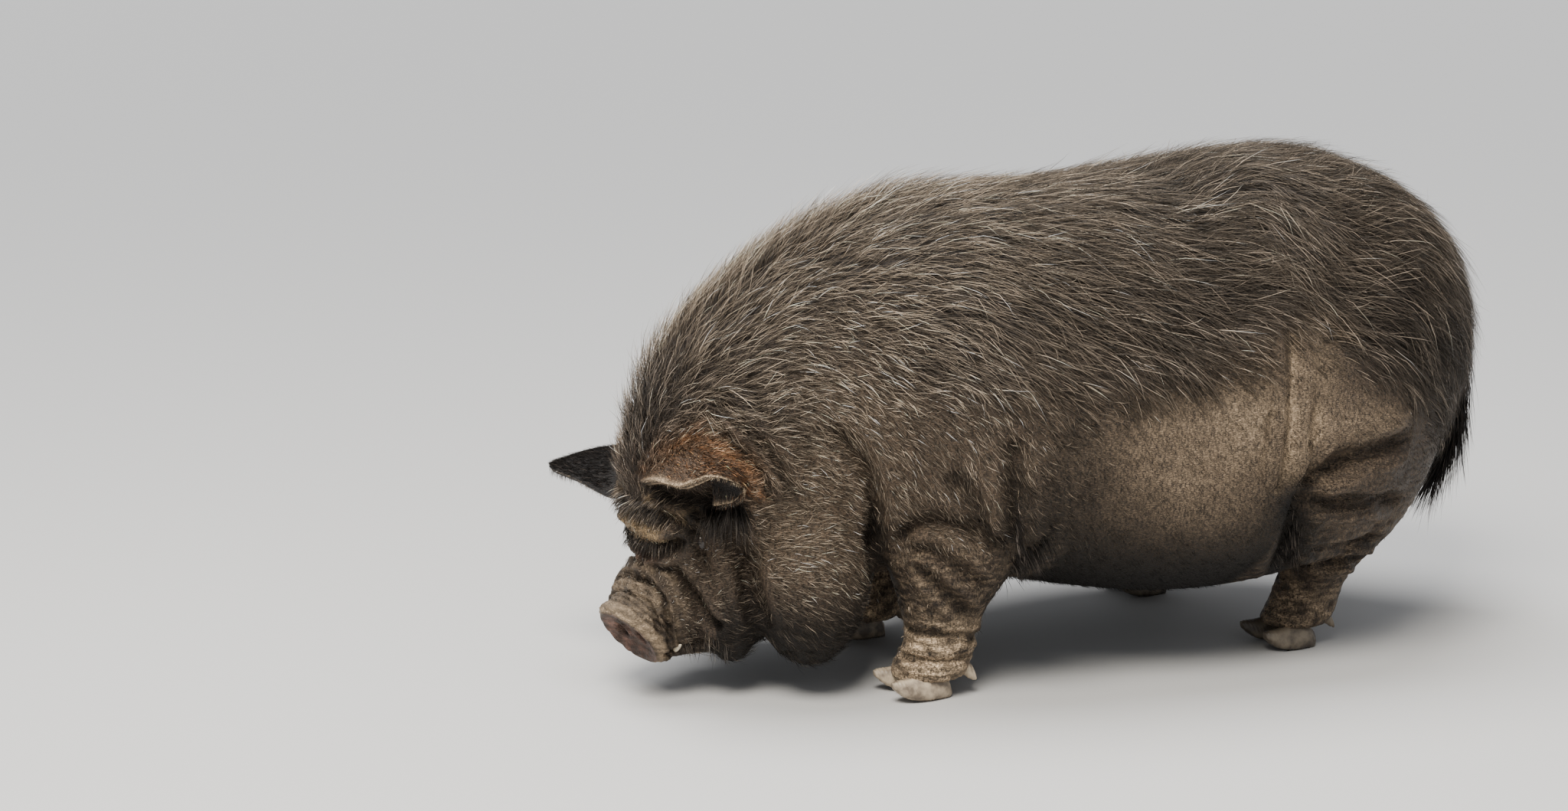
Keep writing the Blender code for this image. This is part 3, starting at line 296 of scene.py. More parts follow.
# Folds of the left side, each (path, depth, width, lip); the right side has the same
folds = {
    "eyeSlit": (((-0.501, -0.078, 0.222), (-0.495, -0.078, 0.212), (-0.488, -0.075, 0.192),
                 (-0.484, -0.078, 0.170), (-0.482, -0.082, 0.160)), 0.011, 0.0060, 0.004),
    "belowBrow": (((-0.519, 0.000, 0.172), (-0.519, -0.024, 0.178), (-0.515, -0.055, 0.191),
                   (-0.505, -0.074, 0.204)), 0.014, 0.0075, 0.006),
    "aboveBrow": (((-0.531, 0.000, 0.218), (-0.526, -0.030, 0.224), (-0.516, -0.058, 0.224),
                   (-0.504, -0.078, 0.220)), 0.009, 0.0075, 0.004),
    "muzzle": (((-0.510, -0.050, 0.168), (-0.500, -0.054, 0.153), (-0.487, -0.064, 0.127),
                (-0.473, -0.074, 0.103), (-0.464, -0.087, 0.093)), 0.012, 0.0070, 0.005),
    "snoutBack": (((-0.535, 0.000, 0.143), (-0.527, -0.024, 0.139), (-0.528, -0.042, 0.130),
                   (-0.530, -0.050, 0.116), (-0.529, -0.053, 0.098), (-0.525, -0.052, 0.080)),
                  0.0085, 0.0034, 0.0030),
    "snoutRidge": (((-0.552, 0.000, 0.131), (-0.547, -0.025, 0.128), (-0.545, -0.045, 0.110),
                    (-0.540, -0.049, 0.086)), 0.0035, 0.0026, 0.0020),
    "mouth": (((-0.535, -0.040, 0.058), (-0.515, -0.050, 0.060), (-0.490, -0.058, 0.062),
               (-0.466, -0.072, 0.072)), 0.010, 0.0042, 0.0030),
    "cheekBack": (((-0.472, -0.106, 0.240), (-0.461, -0.105, 0.212), (-0.446, -0.107, 0.180),
                   (-0.438, -0.106, 0.150), (-0.431, -0.108, 0.124), (-0.418, -0.112, 0.092)),
                  0.014, 0.013, 0.004),
    "behindEar": (((-0.496, -0.072, 0.358), (-0.474, -0.104, 0.329), (-0.453, -0.122, 0.306),
                   (-0.436, -0.133, 0.280), (-0.427, -0.136, 0.250)), 0.008, 0.007, 0.003),
    "nape": (((-0.480, -0.085, 0.378), (-0.453, -0.120, 0.334), (-0.427, -0.139, 0.300),
              (-0.402, -0.149, 0.252)), 0.007, 0.008, 0.003),
    "jowlBack": (((-0.372, -0.170, 0.340), (-0.340, -0.188, 0.315), (-0.316, -0.197, 0.288),
                  (-0.301, -0.195, 0.252), (-0.293, -0.178, 0.212), (-0.291, -0.166, 0.180),
                  (-0.290, -0.160, 0.140)), 0.018, 0.012, 0.006),
    "elbowFront": (((-0.222, -0.244, 0.290), (-0.203, -0.248, 0.264), (-0.181, -0.247, 0.230),
                    (-0.168, -0.243, 0.200)), 0.008, 0.012, 0.004),
    "elbowBack": (((-0.150, -0.266, 0.330), (-0.150, -0.265, 0.280), (-0.146, -0.262, 0.240),
                   (-0.142, -0.245, 0.196)), 0.012, 0.012, 0.005),
    "legTop": (((-0.262, -0.185, 0.198), (-0.250, -0.209, 0.221), (-0.224, -0.227, 0.228),
                (-0.197, -0.237, 0.220), (-0.173, -0.243, 0.203), (-0.153, -0.241, 0.184)),
               0.011, 0.009, 0.004),
    "legMiddle": (((-0.258, -0.190, 0.190), (-0.237, -0.217, 0.192), (-0.211, -0.225, 0.176),
                   (-0.182, -0.226, 0.155), (-0.160, -0.218, 0.140)), 0.007, 0.008, 0.004),
    "legLow": (((-0.248, -0.199, 0.172), (-0.230, -0.213, 0.158), (-0.203, -0.214, 0.128),
                (-0.166, -0.200, 0.102)), 0.009, 0.008, 0.004),
    "ham": (((0.224, -0.292, 0.240), (0.240, -0.294, 0.260), (0.283, -0.295, 0.276),
             (0.330, -0.293, 0.282), (0.396, -0.272, 0.292)), 0.016, 0.012, 0.008),
    "hamLow": (((0.228, -0.286, 0.224), (0.276, -0.284, 0.222), (0.340, -0.268, 0.216),
                (0.398, -0.233, 0.200)), 0.014, 0.010, 0.008),
    "hockTop": (((0.235, -0.250, 0.165), (0.276, -0.245, 0.156), (0.320, -0.236, 0.152),
                 (0.350, -0.225, 0.152), (0.392, -0.190, 0.154)), 0.013, 0.009, 0.007),
    "hockLow": (((0.296, -0.195, 0.112), (0.326, -0.208, 0.114), (0.350, -0.208, 0.122),
                 (0.380, -0.185, 0.122)), 0.012, 0.009, 0.006),
    "groin": (((0.224, -0.290, 0.246), (0.216, -0.275, 0.200), (0.226, -0.245, 0.150),
               (0.250, -0.205, 0.112)), 0.014, 0.013, 0.004),
    "flankFront": (((0.176, -0.287, 0.345), (0.168, -0.294, 0.300), (0.164, -0.292, 0.250)),
                   0.003, 0.007, 0.003),
    "flankMiddle": (((0.213, -0.261, 0.439), (0.206, -0.283, 0.367), (0.196, -0.293, 0.290),
                     (0.183, -0.292, 0.235)), 0.005, 0.008, 0.004),
    "flankBack": (((0.236, -0.286, 0.345), (0.228, -0.292, 0.295), (0.214, -0.290, 0.235)),
                  0.005, 0.008, 0.004),
    "pasternTop": (((-0.230, -0.140, 0.084), (-0.222, -0.188, 0.083), (-0.195, -0.199, 0.080),
                    (-0.165, -0.190, 0.074), (-0.156, -0.160, 0.072)), 0.004, 0.005, 0.003),
    "pasternLow": (((-0.244, -0.150, 0.050), (-0.225, -0.192, 0.049), (-0.200, -0.202, 0.049),
                    (-0.166, -0.190, 0.052)), 0.005, 0.005, 0.003),
    "underEar": (((-0.534, -0.040, 0.258), (-0.512, -0.074, 0.256), (-0.490, -0.094, 0.254),
                  (-0.468, -0.112, 0.256)), 0.012, 0.013, 0.000),
    "templeTop": (((-0.500, -0.080, 0.240), (-0.492, -0.088, 0.225), (-0.480, -0.095, 0.212)),
                  0.005, 0.005, 0.002),
    "cheekLow": (((-0.455, -0.100, 0.205), (-0.447, -0.103, 0.165), (-0.440, -0.104, 0.120)),
                 0.003, 0.006, 0.003),
    "bridgeLow": (((-0.523, 0.000, 0.158), (-0.517, -0.030, 0.160), (-0.505, -0.052, 0.162)),
                  0.005, 0.005, 0.003),
}
foldCurves = []              # (curve, width, depth) as carved, kept so that painted shade can darken the folds


def trunkRing(row):
    topX, topZ, lowX, lowZ, half, share, upper, lower = row
    turn = np.linspace(0, 2 * math.pi, body["ringPoints"], endpoint=False)
    across, along = np.cos(turn), np.sin(turn)
    power = np.where(along > 0, upper, lower)
    across = signedPower(across, 2 / power)
    rise = signedPower(along, 2 / power)
    along = np.where(along > 0, (1 - share) * rise, share * rise) + share
    return np.stack((lowX + (topX - lowX) * along, half * across, lowZ + (topZ - lowZ) * along), 1)


def legLoft(name, rows, shiftX, footY, lean):
    outward = math.copysign(1, footY)
    turn = np.linspace(0, 2 * math.pi, body["ringPoints"], endpoint=False)
    rings = []
    for x, z, y, halfLong, halfWide in splineRows(rows, 4):
        y += lean * min(1.0, max(0.0, (z - 0.07) / 0.13))
        rings.append(np.stack((x + shiftX + halfLong * signedPower(np.cos(turn), 2 / 2.2),
                               footY + outward * y + halfWide * signedPower(np.sin(turn), 2 / 2.2),
                               np.full(len(turn), z)), 1))
    return closedLoft(name, rings)


def fusedBody():
    # Trunk, swellings and legs joined, fused by a voxel remesh and softened.
    pieces = [closedLoft("trunk", [trunkRing(row) for row in splineRows(body["trunkSections"], 4)])]
    for name, (centre, radii) in body["swellings"].items():
        for side in (1, -1):
            bpy.ops.mesh.primitive_uv_sphere_add(segments=40, ring_count=24, radius=1,
                                                 location=(centre[0], side * centre[1], centre[2]))
            ball = bpy.context.object
            ball.scale = radii
            bpy.ops.object.transform_apply(location=True, rotation=False, scale=True)
            pieces.append(ball)
    for name, (rows, shiftX, footY, lean) in body["feet"].items():
        pieces.append(legLoft(name, body[rows], shiftX, footY, lean))
    deselectAll()
    for piece in pieces:
        piece.select_set(True)
    bpy.context.view_layer.objects.active = pieces[0]
    bpy.ops.object.join()
    made = bpy.context.object
    made.name = "hide"
    applyModifier(made, "REMESH", mode="VOXEL", voxel_size=body["voxel"])
    applyModifier(made, "SMOOTH", factor=0.5, iterations=body["softenPasses"])
    return made


def swellOut(made):
    points, normals = meshPoints(made), vertexNormals(made)
    for centre, radii, height in body["bulges"].values():
        for side in (1, -1):
            away = (points - np.array(centre) * (1, side, 1)) / radii
            points += normals * (height * np.exp(-(away ** 2).sum(1)))[:, None]
    setPoints(made, points)


def refineHead(made):
    # Splits the faces of the face once more, for lids, lips and creases.
    work = bmesh.new()
    work.from_mesh(made.data)
    edges = [e for e in work.edges if (e.verts[0].co.x + e.verts[1].co.x) / 2 < -0.462]
    bmesh.ops.subdivide_edges(work, edges=edges, cuts=1, use_grid_fill=True, smooth=0.0)
    work.to_mesh(made.data)
    work.free()


def coatShare(points):
    # 1 where the long coat grows and 0 below its lower edge.
    places, heights = zip(*coatEdge)
    over = (points[:, 2] - np.interp(points[:, 0], places, heights)) / 0.05 + 0.5
    share = np.clip(over, 0, 1)
    return share * share * (3 - 2 * share)


def pathDistance(points, path):
    near = np.full(len(points), 9.0)
    along = np.zeros(len(points))
    pieces = len(path) - 1
    for i in range(pieces):
        start, step = path[i], path[i + 1] - path[i]
        t = np.clip((points - start) @ step / max(step @ step, 1e-12), 0, 1)
        away = np.linalg.norm(points - start - t[:, None] * step, axis=1)
        closer = away < near
        near = np.where(closer, away, near)
        along = np.where(closer, (i + t) / pieces, along)
    return near, along


def foldShade(points):
    # 1 down in the folds, fading out a fold's width from them.
    shade = np.zeros(len(points))
    for curve, width, depth in foldCurves:
        nearby = (points > curve.min(0) - 2 * width).all(1) & (points < curve.max(0) + 2 * width).all(1)
        near, along = pathDistance(points[nearby], curve)
        fade = np.minimum(1, np.minimum(along, 1 - along) / 0.10 + 0.15)
        here = np.exp(-(near / (0.75 * width)) ** 2) * fade * min(1.0, 0.25 + depth / 0.010)
        shade[nearby] = np.maximum(shade[nearby], here)
    return shade


def carveFolds(made):
    # Each fold sinks along its path and raises a soft lip on both sides; it fades out at its ends.
    points, normals = meshPoints(made), vertexNormals(made)
    tree = BVHTree.FromObject(made, bpy.context.evaluated_depsgraph_get())
    change = np.zeros(len(points))
    for name, (path, depth, width, lip) in folds.items():
        for side in (1, -1):
            curve = splineRows([(x, side * y, z) for x, y, z in path], 4)
            curve = np.array([tree.find_nearest(Vector(p))[0] for p in curve])
            # the flank folds keep no depth here, so they get only faint painted shade
            foldCurves.append((curve, width, 0.0 if name.startswith("flank") else depth))
            nearby = (points > curve.min(0) - 4 * width).all(1) & (points < curve.max(0) + 4 * width).all(1)
            near, along = pathDistance(points[nearby], curve)
            ends = 1.0 if abs(path[0][1]) < 0.001 else np.clip(along / 0.12, 0, 1)
            fade = np.minimum(ends, np.clip((1 - along) / 0.12, 0, 1))
            near = near + 0.18 * width * ripple(points[nearby], 0.05, 3)
            sink = -depth * np.exp(-(near / width) ** 2)
            raiseUp = lip * np.exp(-((near - 2.1 * width) / width) ** 2)
            change[nearby] += (sink + raiseUp) * fade
    setPoints(made, points + normals * np.maximum(change, -0.026)[:, None])
    return np.clip(-change / 0.012, 0, 1)


snout = {
    "middle": np.array((-0.546, 0.000, 0.077)),
    "normal": np.array((-0.815, 0.000, -0.580)),
    "halfWidth": 0.047,
    "halfHeight": 0.041,
    "nostrilApart": 0.0180,
    "nostrilRadii": (0.0085, 0.0105),
    "nostrilDepth": 0.016,
}


def snoutPlaces(points):
    # Each point's distance in front of the snout disc's cut, and its place on the disc, across and up.
    normal = snout["normal"] / np.linalg.norm(snout["normal"])
    up = np.array((normal[2], 0, -normal[0]))
    fromMiddle = points - snout["middle"]
    return fromMiddle @ normal, fromMiddle[:, 1], fromMiddle @ up, normal


def shapeSnout(made):
    # A thick rim round the disc, two nostrils with raised edges, and creases behind the rim.
    points = meshPoints(made)
    front, across, rise, normal = snoutPlaces(points)
    faceIt = vertexNormals(made) @ normal
    radial = np.sqrt((across / snout["halfWidth"]) ** 2 + (rise / snout["halfHeight"]) ** 2)
    up = np.cross(np.array((0, 1.0, 0)), normal)
    up = up if up[2] > 0 else -up
    flare = 0.10 * smoothStep(front, -0.022, -0.003) * (radial < 1.5)
    points = points + np.outer(flare * across, (0, 1.0, 0)) + np.outer(flare * rise, up)
    radial = radial * (1 + flare)
    across, rise = across * (1 + flare), rise * (1 + flare)
    onDisc = smoothStep(front, -0.006, 0.003) * smoothStep(faceIt, 0.1, 0.55)
    move = -0.0060 * (1 - smoothStep(radial, 0.50, 0.86)) * onDisc
    move = move + 0.0030 * hump(radial, 0.98, 0.10) * onDisc
    for side in (1, -1):
        out = np.sqrt(((across - side * snout["nostrilApart"]) / snout["nostrilRadii"][0]) ** 2
                      + ((rise - 0.001) / snout["nostrilRadii"][1]) ** 2)
        move = move - snout["nostrilDepth"] * (1 - smoothStep(out, 0.35, 1.05)) * onDisc
        move = move + 0.0022 * hump(out, 1.35, 0.28) * onDisc
    points = points + normal * move[:, None]
    behind = -front
    sideways = vertexNormals(made)
    creases = np.zeros(len(points))
    wander = 0.0022 * ripple(points, 0.045, 21)
    for place, depth, width in ((0.011, 0.0032, 0.0018), (0.019, 0.0022, 0.0017), (0.027, 0.0020, 0.0019)):
        creases -= depth * np.exp(-((behind + wander - place) / width) ** 2)
    rim = 0.0034 * hump(front, 0.002, 0.0042)
    around = (1 - smoothStep(faceIt, 0.3, 0.75)) * smoothStep(radial, 0.6, 0.8) * (points[:, 0] < -0.49)
    points = points + sideways * ((creases + rim) * around)[:, None]
    setPoints(made, points)


eyelid = {
    "along": np.array((0.22, 0.0, -0.975)),
    "halfLong": 0.0150,
    "halfWide": 0.0042,
    "lidRadius": 0.0143,
    "socketRadius": 0.0090,
}


def openLids(made):
    # Skin near each eye wraps the ball as lids and sinks behind it inside the opening.
    points = meshPoints(made)
    for side in (1, -1):
        centre = np.array(pig["eyePlace"]) * (1, side, 1)
        outward = np.array((-0.42, -0.90 * side, 0.08))
        outward /= np.linalg.norm(outward)
        along = eyelid["along"] - outward * (eyelid["along"] @ outward)
        along /= np.linalg.norm(along)
        across = np.cross(outward, along)
        fromEye = points - centre
        far = np.linalg.norm(fromEye, axis=1)
        ahead = fromEye @ outward
        out = np.hypot(fromEye @ along / eyelid["halfLong"], fromEye @ across / eyelid["halfWide"])
        nearby = (far < 0.034) & (ahead > -0.004)
        lidShape = smoothStep(out, 0.75, 1.10)
        wanted = eyelid["socketRadius"] + (eyelid["lidRadius"] - eyelid["socketRadius"]) * lidShape
        wanted = wanted + 0.0012 * hump(out, 1.25, 0.22)
        blend = 1 - smoothStep(out, 1.9, 3.2)
        wanted = wanted * blend + far * (1 - blend)
        inside = smoothStep(ahead, -0.004, 0.003)
        wanted = wanted * inside + far * (1 - inside)
        scale = np.where(nearby, wanted / np.maximum(far, 1e-6), 1.0)
        points = centre + fromEye * scale[:, None]
    setPoints(made, points)


def legShare(points):
    # 1 on the four legs below the body.
    low = 1 - smoothStep(points[:, 2], 0.15, 0.24)
    wide = smoothStep(np.abs(points[:, 1]), 0.040, 0.075)
    x = points[:, 0]
    place = ((x > -0.285) & (x < -0.08)) | ((x > 0.19) & (x < 0.52))
    return low * wide * place


def wrinkle(made):
    # Fine raised wrinkles: rings round the legs, upright ones on neck and flank, small ones on the face.
    points, normals = meshPoints(made), vertexNormals(made)
    legs = legShare(points)
    warp = 0.018 * ripple(points, 0.10, 31) + 0.007 * ripple(points, 0.035, 32)
    level = points[:, 2] * (1 + 0.25 * ripple(points, 0.2, 39)) + warp
    rings = np.abs(np.sin(level * math.pi / 0.0150)) ** 0.6 - 0.7
    patch = 0.40 + 0.60 * ripple(points, 0.045, 33)
    move = 0.0024 * rings * legs * patch
    face = smoothStep(-points[:, 0], 0.47, 0.50) * (1 - smoothStep(points[:, 2], 0.24, 0.28))
    warp = 0.006 * ripple(points, 0.05, 34)
    small = np.abs(np.sin((points[:, 0] * 0.6 + points[:, 2] + warp) * math.pi / 0.0085)) ** 0.7 - 0.7
    move += 0.0013 * small * face * (0.5 + 0.5 * ripple(points, 0.03, 35))
    upright = np.abs(np.sin((points[:, 0] + 0.25 * points[:, 2] + 0.012 * ripple(points, 0.12, 36))
                            * math.pi / 0.022)) ** 0.6 - 0.7
    x, z = points[:, 0], points[:, 2]
    flank = hump(x, 0.20, 0.07) * hump(z, 0.29, 0.09)
    neck = hump(x, -0.27, 0.05) * hump(z, 0.30, 0.07)
    move += 0.0012 * upright * (flank + 0.6 * neck)
    pucker = ripple(points, 0.012, 37) * ripple(points, 0.03, 38)
    move += 0.0007 * pucker * (1 - coatShare(points))
    setPoints(made, points + normals * move[:, None])


def thinOut(made, folded):
    # Decimate to about hideFaces triangles, keeping more of them in folds and on head and feet.
    points = meshPoints(made)
    keep = made.vertex_groups.new(name="keep")
    head = smoothStep(-points[:, 0], 0.40, 0.47)
    weight = np.clip(0.75 * head + 0.6 * legShare(points) + 0.5 * folded, 0, 1)
    for share in (0.25, 0.5, 0.75, 1.0):
        chosen = np.nonzero((weight > share - 0.25) & (weight <= share))[0].tolist()
        keep.add(chosen, 1.0 - 0.8 * share, "REPLACE")
    keep.add(np.nonzero(weight <= 0)[0].tolist(), 1.0, "REPLACE")
    faces = sum(len(f.vertices) - 2 for f in made.data.polygons)
    applyModifier(made, "DECIMATE", ratio=min(1.0, body["hideFaces"] / faces), vertex_group=keep.name,
                  vertex_group_factor=1.0)
    made.vertex_groups.clear()


hide = fusedBody()
print("body fused:", len(hide.data.polygons), "faces")
swellOut(hide)
refineHead(hide)
foldedShare = carveFolds(hide)
openLids(hide)
shapeSnout(hide)
wrinkle(hide)
hidePoints = meshPoints(hide)
setPoints(hide, hidePoints - vertexNormals(hide) * (body["coatDepth"] * coatShare(hidePoints))[:, None])
print("hide carved")
thinOut(hide, foldedShare)
print("hide thinned:", len(hide.data.polygons), "faces")

# Each ear is a thick sheet through three curves, given as (share of its length, place) from inside the
# head to the tip: its front edge, the ridge along its back, and its rear edge. The left ear is folded
# like an awning.
ear = {
    "thickness": 0.0080,
    "bead": 0.22,             # by which the border is thicker
    "acrossSteps": 31,
    1: {
        "front": ((-0.20, -0.5269, -0.0104, 0.2667), (0.00, -0.5391, -0.0296, 0.2626),
                  (0.12, -0.5391, -0.0643, 0.2721), (0.30, -0.5299, -0.1086, 0.2726),
                  (0.50, -0.5215, -0.1303, 0.2813), (0.65, -0.5084, -0.1464, 0.2900),
                  (0.80, -0.4907, -0.1569, 0.2858), (0.93, -0.4779, -0.1584, 0.2794),
                  (1.00, -0.4732, -0.1567, 0.2750)),
        "ridge": ((-0.20, -0.4844, -0.0653, 0.2998), (0.00, -0.4947, -0.0856, 0.3082),
                  (0.30, -0.4930, -0.1167, 0.3066), (0.60, -0.4834, -0.1431, 0.3008),
                  (0.80, -0.4759, -0.1529, 0.2904), (1.00, -0.4699, -0.1542, 0.2715)),
        "rear": ((-0.20, -0.4630, -0.0866, 0.2447), (0.00, -0.4800, -0.1023, 0.2453),
                 (0.50, -0.4778, -0.1208, 0.2506), (0.80, -0.4737, -0.1355, 0.2558),
                 (0.93, -0.4721, -0.1454, 0.2621), (1.00, -0.4712, -0.1512, 0.2675)),
    },
    -1: {
        "front": ((-0.25, -0.5164, 0.0362, 0.2420), (0.00, -0.5400, 0.0548, 0.2300),
                  (0.25, -0.5489, 0.0863, 0.2340), (0.50, -0.5531, 0.1206, 0.2390),
                  (0.75, -0.5591, 0.1530, 0.2415), (0.93, -0.5624, 0.1769, 0.2425),
                  (1.00, -0.5616, 0.1877, 0.2435)),
        "ridge": ((-0.25, -0.4779, 0.0691, 0.2813), (0.00, -0.4943, 0.0939, 0.2770),
                  (0.25, -0.5095, 0.1182, 0.2673), (0.50, -0.5248, 0.1426, 0.2584),
                  (0.75, -0.5405, 0.1671, 0.2520), (0.93, -0.5518, 0.1847, 0.2480),
                  (1.00, -0.5562, 0.1916, 0.2460)),
        "rear": ((-0.25, -0.4261, 0.0969, 0.2567), (0.00, -0.4328, 0.1269, 0.2477),
                 (0.25, -0.4627, 0.1473, 0.2618), (0.50, -0.4949, 0.1640, 0.2640),
                 (0.75, -0.5219, 0.1812, 0.2570), (0.93, -0.5410, 0.1925, 0.2490),
                 (1.00, -0.5504, 0.1954, 0.2450)),
    },
}
earCurves = {(side, name): splineRows(ear[side][name], 6)
             for side in (1, -1) for name in ("front", "ridge", "rear")}


def earSheet(side, share, v):
    # share runs from base to tip, v from the front edge (-1) to the rear edge (1)
    front, ridge, rear = (np.stack([np.interp(share, rows[:, 0], rows[:, i]) for i in (1, 2, 3)], 1)
                          for rows in (earCurves[side, name] for name in ("front", "ridge", "rear")))
    v = np.asarray(v)[:, None]
    return front * (v * v - v) / 2 + ridge * (1 - v * v) + rear * (v * v + v) / 2


def normalized(ways):
    return ways / np.maximum(np.linalg.norm(ways, axis=1), 1e-9)[:, None]


def earSurface(side, share, v, above):
    # A place on the ear's outer (above 1) or inner (above -1) surface, with the ways along it and out of it
    share, v = np.asarray(share, float), np.asarray(v, float)
    along = normalized(earSheet(side, share + 0.03, v) - earSheet(side, share - 0.03, v))
    across = normalized(earSheet(side, share, v + 0.03) - earSheet(side, share, v - 0.03))
    out = normalized(np.cross(along, across)) * side
    thick = ear["thickness"] * (1.12 - 0.34 * np.maximum(0, share)) * 0.5
    thick = thick * (1 + ear["bead"] * np.exp(-((1 - np.abs(v)) / 0.07) ** 2))
    return earSheet(side, share, v) + out * (above * thick)[:, None], along, out * above


def makeEar(side):
    steps = ear["acrossSteps"]
    across = np.sin(np.linspace(-math.pi / 2, math.pi / 2, steps))
    rings = []
    for share in np.concatenate((np.linspace(ear[side]["ridge"][0][0], 0.9, 24), (0.94, 0.97, 1.0))):
        same = np.full(steps, share)
        outer = earSurface(side, same, across, 1)[0]
        inner = earSurface(side, same, across, -1)[0]
        rings.append(np.vstack((outer, inner[::-1])))
    made = closedLoft("ear", rings, leaf=True)
    applyModifier(made, "SUBSURF", levels=1, render_levels=1)
    return made


tail = {
    "path": ((0.590, 0.000, 0.416), (0.637, -0.002, 0.390), (0.650, -0.006, 0.342), (0.650, -0.008, 0.292),
             (0.646, -0.010, 0.246), (0.634, -0.014, 0.208), (0.612, -0.018, 0.178)),
    "radii": (0.0150, 0.0130, 0.0105, 0.0090, 0.0080, 0.0065, 0.0035),
}


def makeTail():
    rows = splineRows([(*place, radius) for place, radius in zip(tail["path"], tail["radii"])], 6)
    rings = []
    turn = np.linspace(0, 2 * math.pi, 16, endpoint=False)
    for i, row in enumerate(rows):
        towards = Vector(rows[min(len(rows) - 1, i + 1), :3] - rows[max(0, i - 1), :3]).normalized()
        aside = towards.cross(Vector((0, 1, 0))).normalized()
        level = np.array(aside.cross(towards))
        ring = row[:3] + (np.outer(np.cos(turn), np.array(aside)) + np.outer(np.sin(turn), level)) * row[3]
        rings.append(ring)
    return closedLoft("tail", rings)


def uniteAndSoften(made, parts):
    # Unites closed parts with the hide and softens the skin along the joins.
    bodyNear = treeOf(made)
    partTrees = [treeOf(part) for part in parts]
    boxes = [(meshPoints(part).min(0) - 0.012, meshPoints(part).max(0) + 0.012) for part in parts]
    for part in parts:
        applyModifier(made, "BOOLEAN", operation="UNION", object=part, solver="EXACT")
        bpy.data.objects.remove(part)
    points = meshPoints(made)
    seam = made.vertex_groups.new(name="seam")
    for partNear, (corner, far) in zip(partTrees, boxes):
        for i in np.nonzero(((points > corner) & (points < far)).all(1))[0]:
            place = Vector(points[i])
            away = max(bodyNear.find_nearest(place)[3], partNear.find_nearest(place)[3])
            if away < 0.009:
                seam.add([int(i)], 1.0 - away / 0.009, "REPLACE")
    applyModifier(made, "SMOOTH", factor=0.6, iterations=14, vertex_group=seam.name)
    made.vertex_groups.clear()


def treeOf(made):
    bpy.context.view_layer.update()
    return BVHTree.FromObject(made, bpy.context.evaluated_depsgraph_get())


applyModifier(hide, "TRIANGULATE")
ears = [makeEar(side) for side in (1, -1)]
tailTube = makeTail()
bodyOnly = hide.data.copy()          # hair roots are drawn on the body before ears and tail join it
uniteAndSoften(hide, ears + [tailTube])
print("hide with ears and tail:", len(hide.data.polygons), "faces")


def bodyFrames():
    # Middle, upward side and backward normal of each trunk section, from nape to rump.
    middles, ups, backs = [], [], []
    for topX, topZ, lowX, lowZ in splineRows(body["trunkSections"], 4)[::-1, :4]:
        up = np.array((topX - lowX, 0, topZ - lowZ))
        up /= np.linalg.norm(up)
        middles.append(((topX + lowX) / 2, 0, (topZ + lowZ) / 2))
        ups.append(up)
        backs.append((up[2], 0, -up[0]))
    return np.array(middles), np.array(ups), np.array(backs)


frameMiddles, frameUps, frameBacks = bodyFrames()


def nearestFrames(points):
    behind = np.abs(np.einsum("ijk,jk->ij", points[:, None, :] - frameMiddles[None], frameBacks))
    return np.argmin(behind, axis=1)


def hairLie(points, normals):
    # The way hair lies: back along the trunk and down the sides, down the legs and rump, with swirls.
    section = nearestFrames(points)
    backs = frameBacks[section]
    rump = smoothStep(points[:, 0], 0.44, 0.60)
    down = (0.10 + 0.80 * np.minimum(1, np.abs(points[:, 1]) / 0.26)) * (1 - rump) + 1.4 * rump
    lie = backs * (1 - 0.85 * rump)[:, None]
    lie[:, 2] -= down
    legs = legShare(points)
    lie = lie * (1 - legs)[:, None] + np.array((0.15, 0, -1.0)) * legs[:, None]
    lie = lie - normals * (lie * normals).sum(1)[:, None]
    lie = normalized(lie)
    loin = hump(points[:, 0], 0.22, 0.16) * smoothStep(points[:, 2], 0.36, 0.48)
    angle = (0.18 + 0.50 * loin) * ripple(points, 0.22, 41) + (0.16 + 0.24 * loin) * ripple(points, 0.06, 42)
    return normalized(lie * np.cos(angle)[:, None] + np.cross(normals, lie) * np.sin(angle)[:, None])


def softCoat(points):
    # As coatShare, but with the wide, ragged edge that the real coat has.
    places, heights = zip(*coatEdge)
    over = points[:, 2] - np.interp(points[:, 0], places, heights) + 0.022 * ripple(points, 0.09, 43)
    return smoothStep(over, -0.085, 0.055)
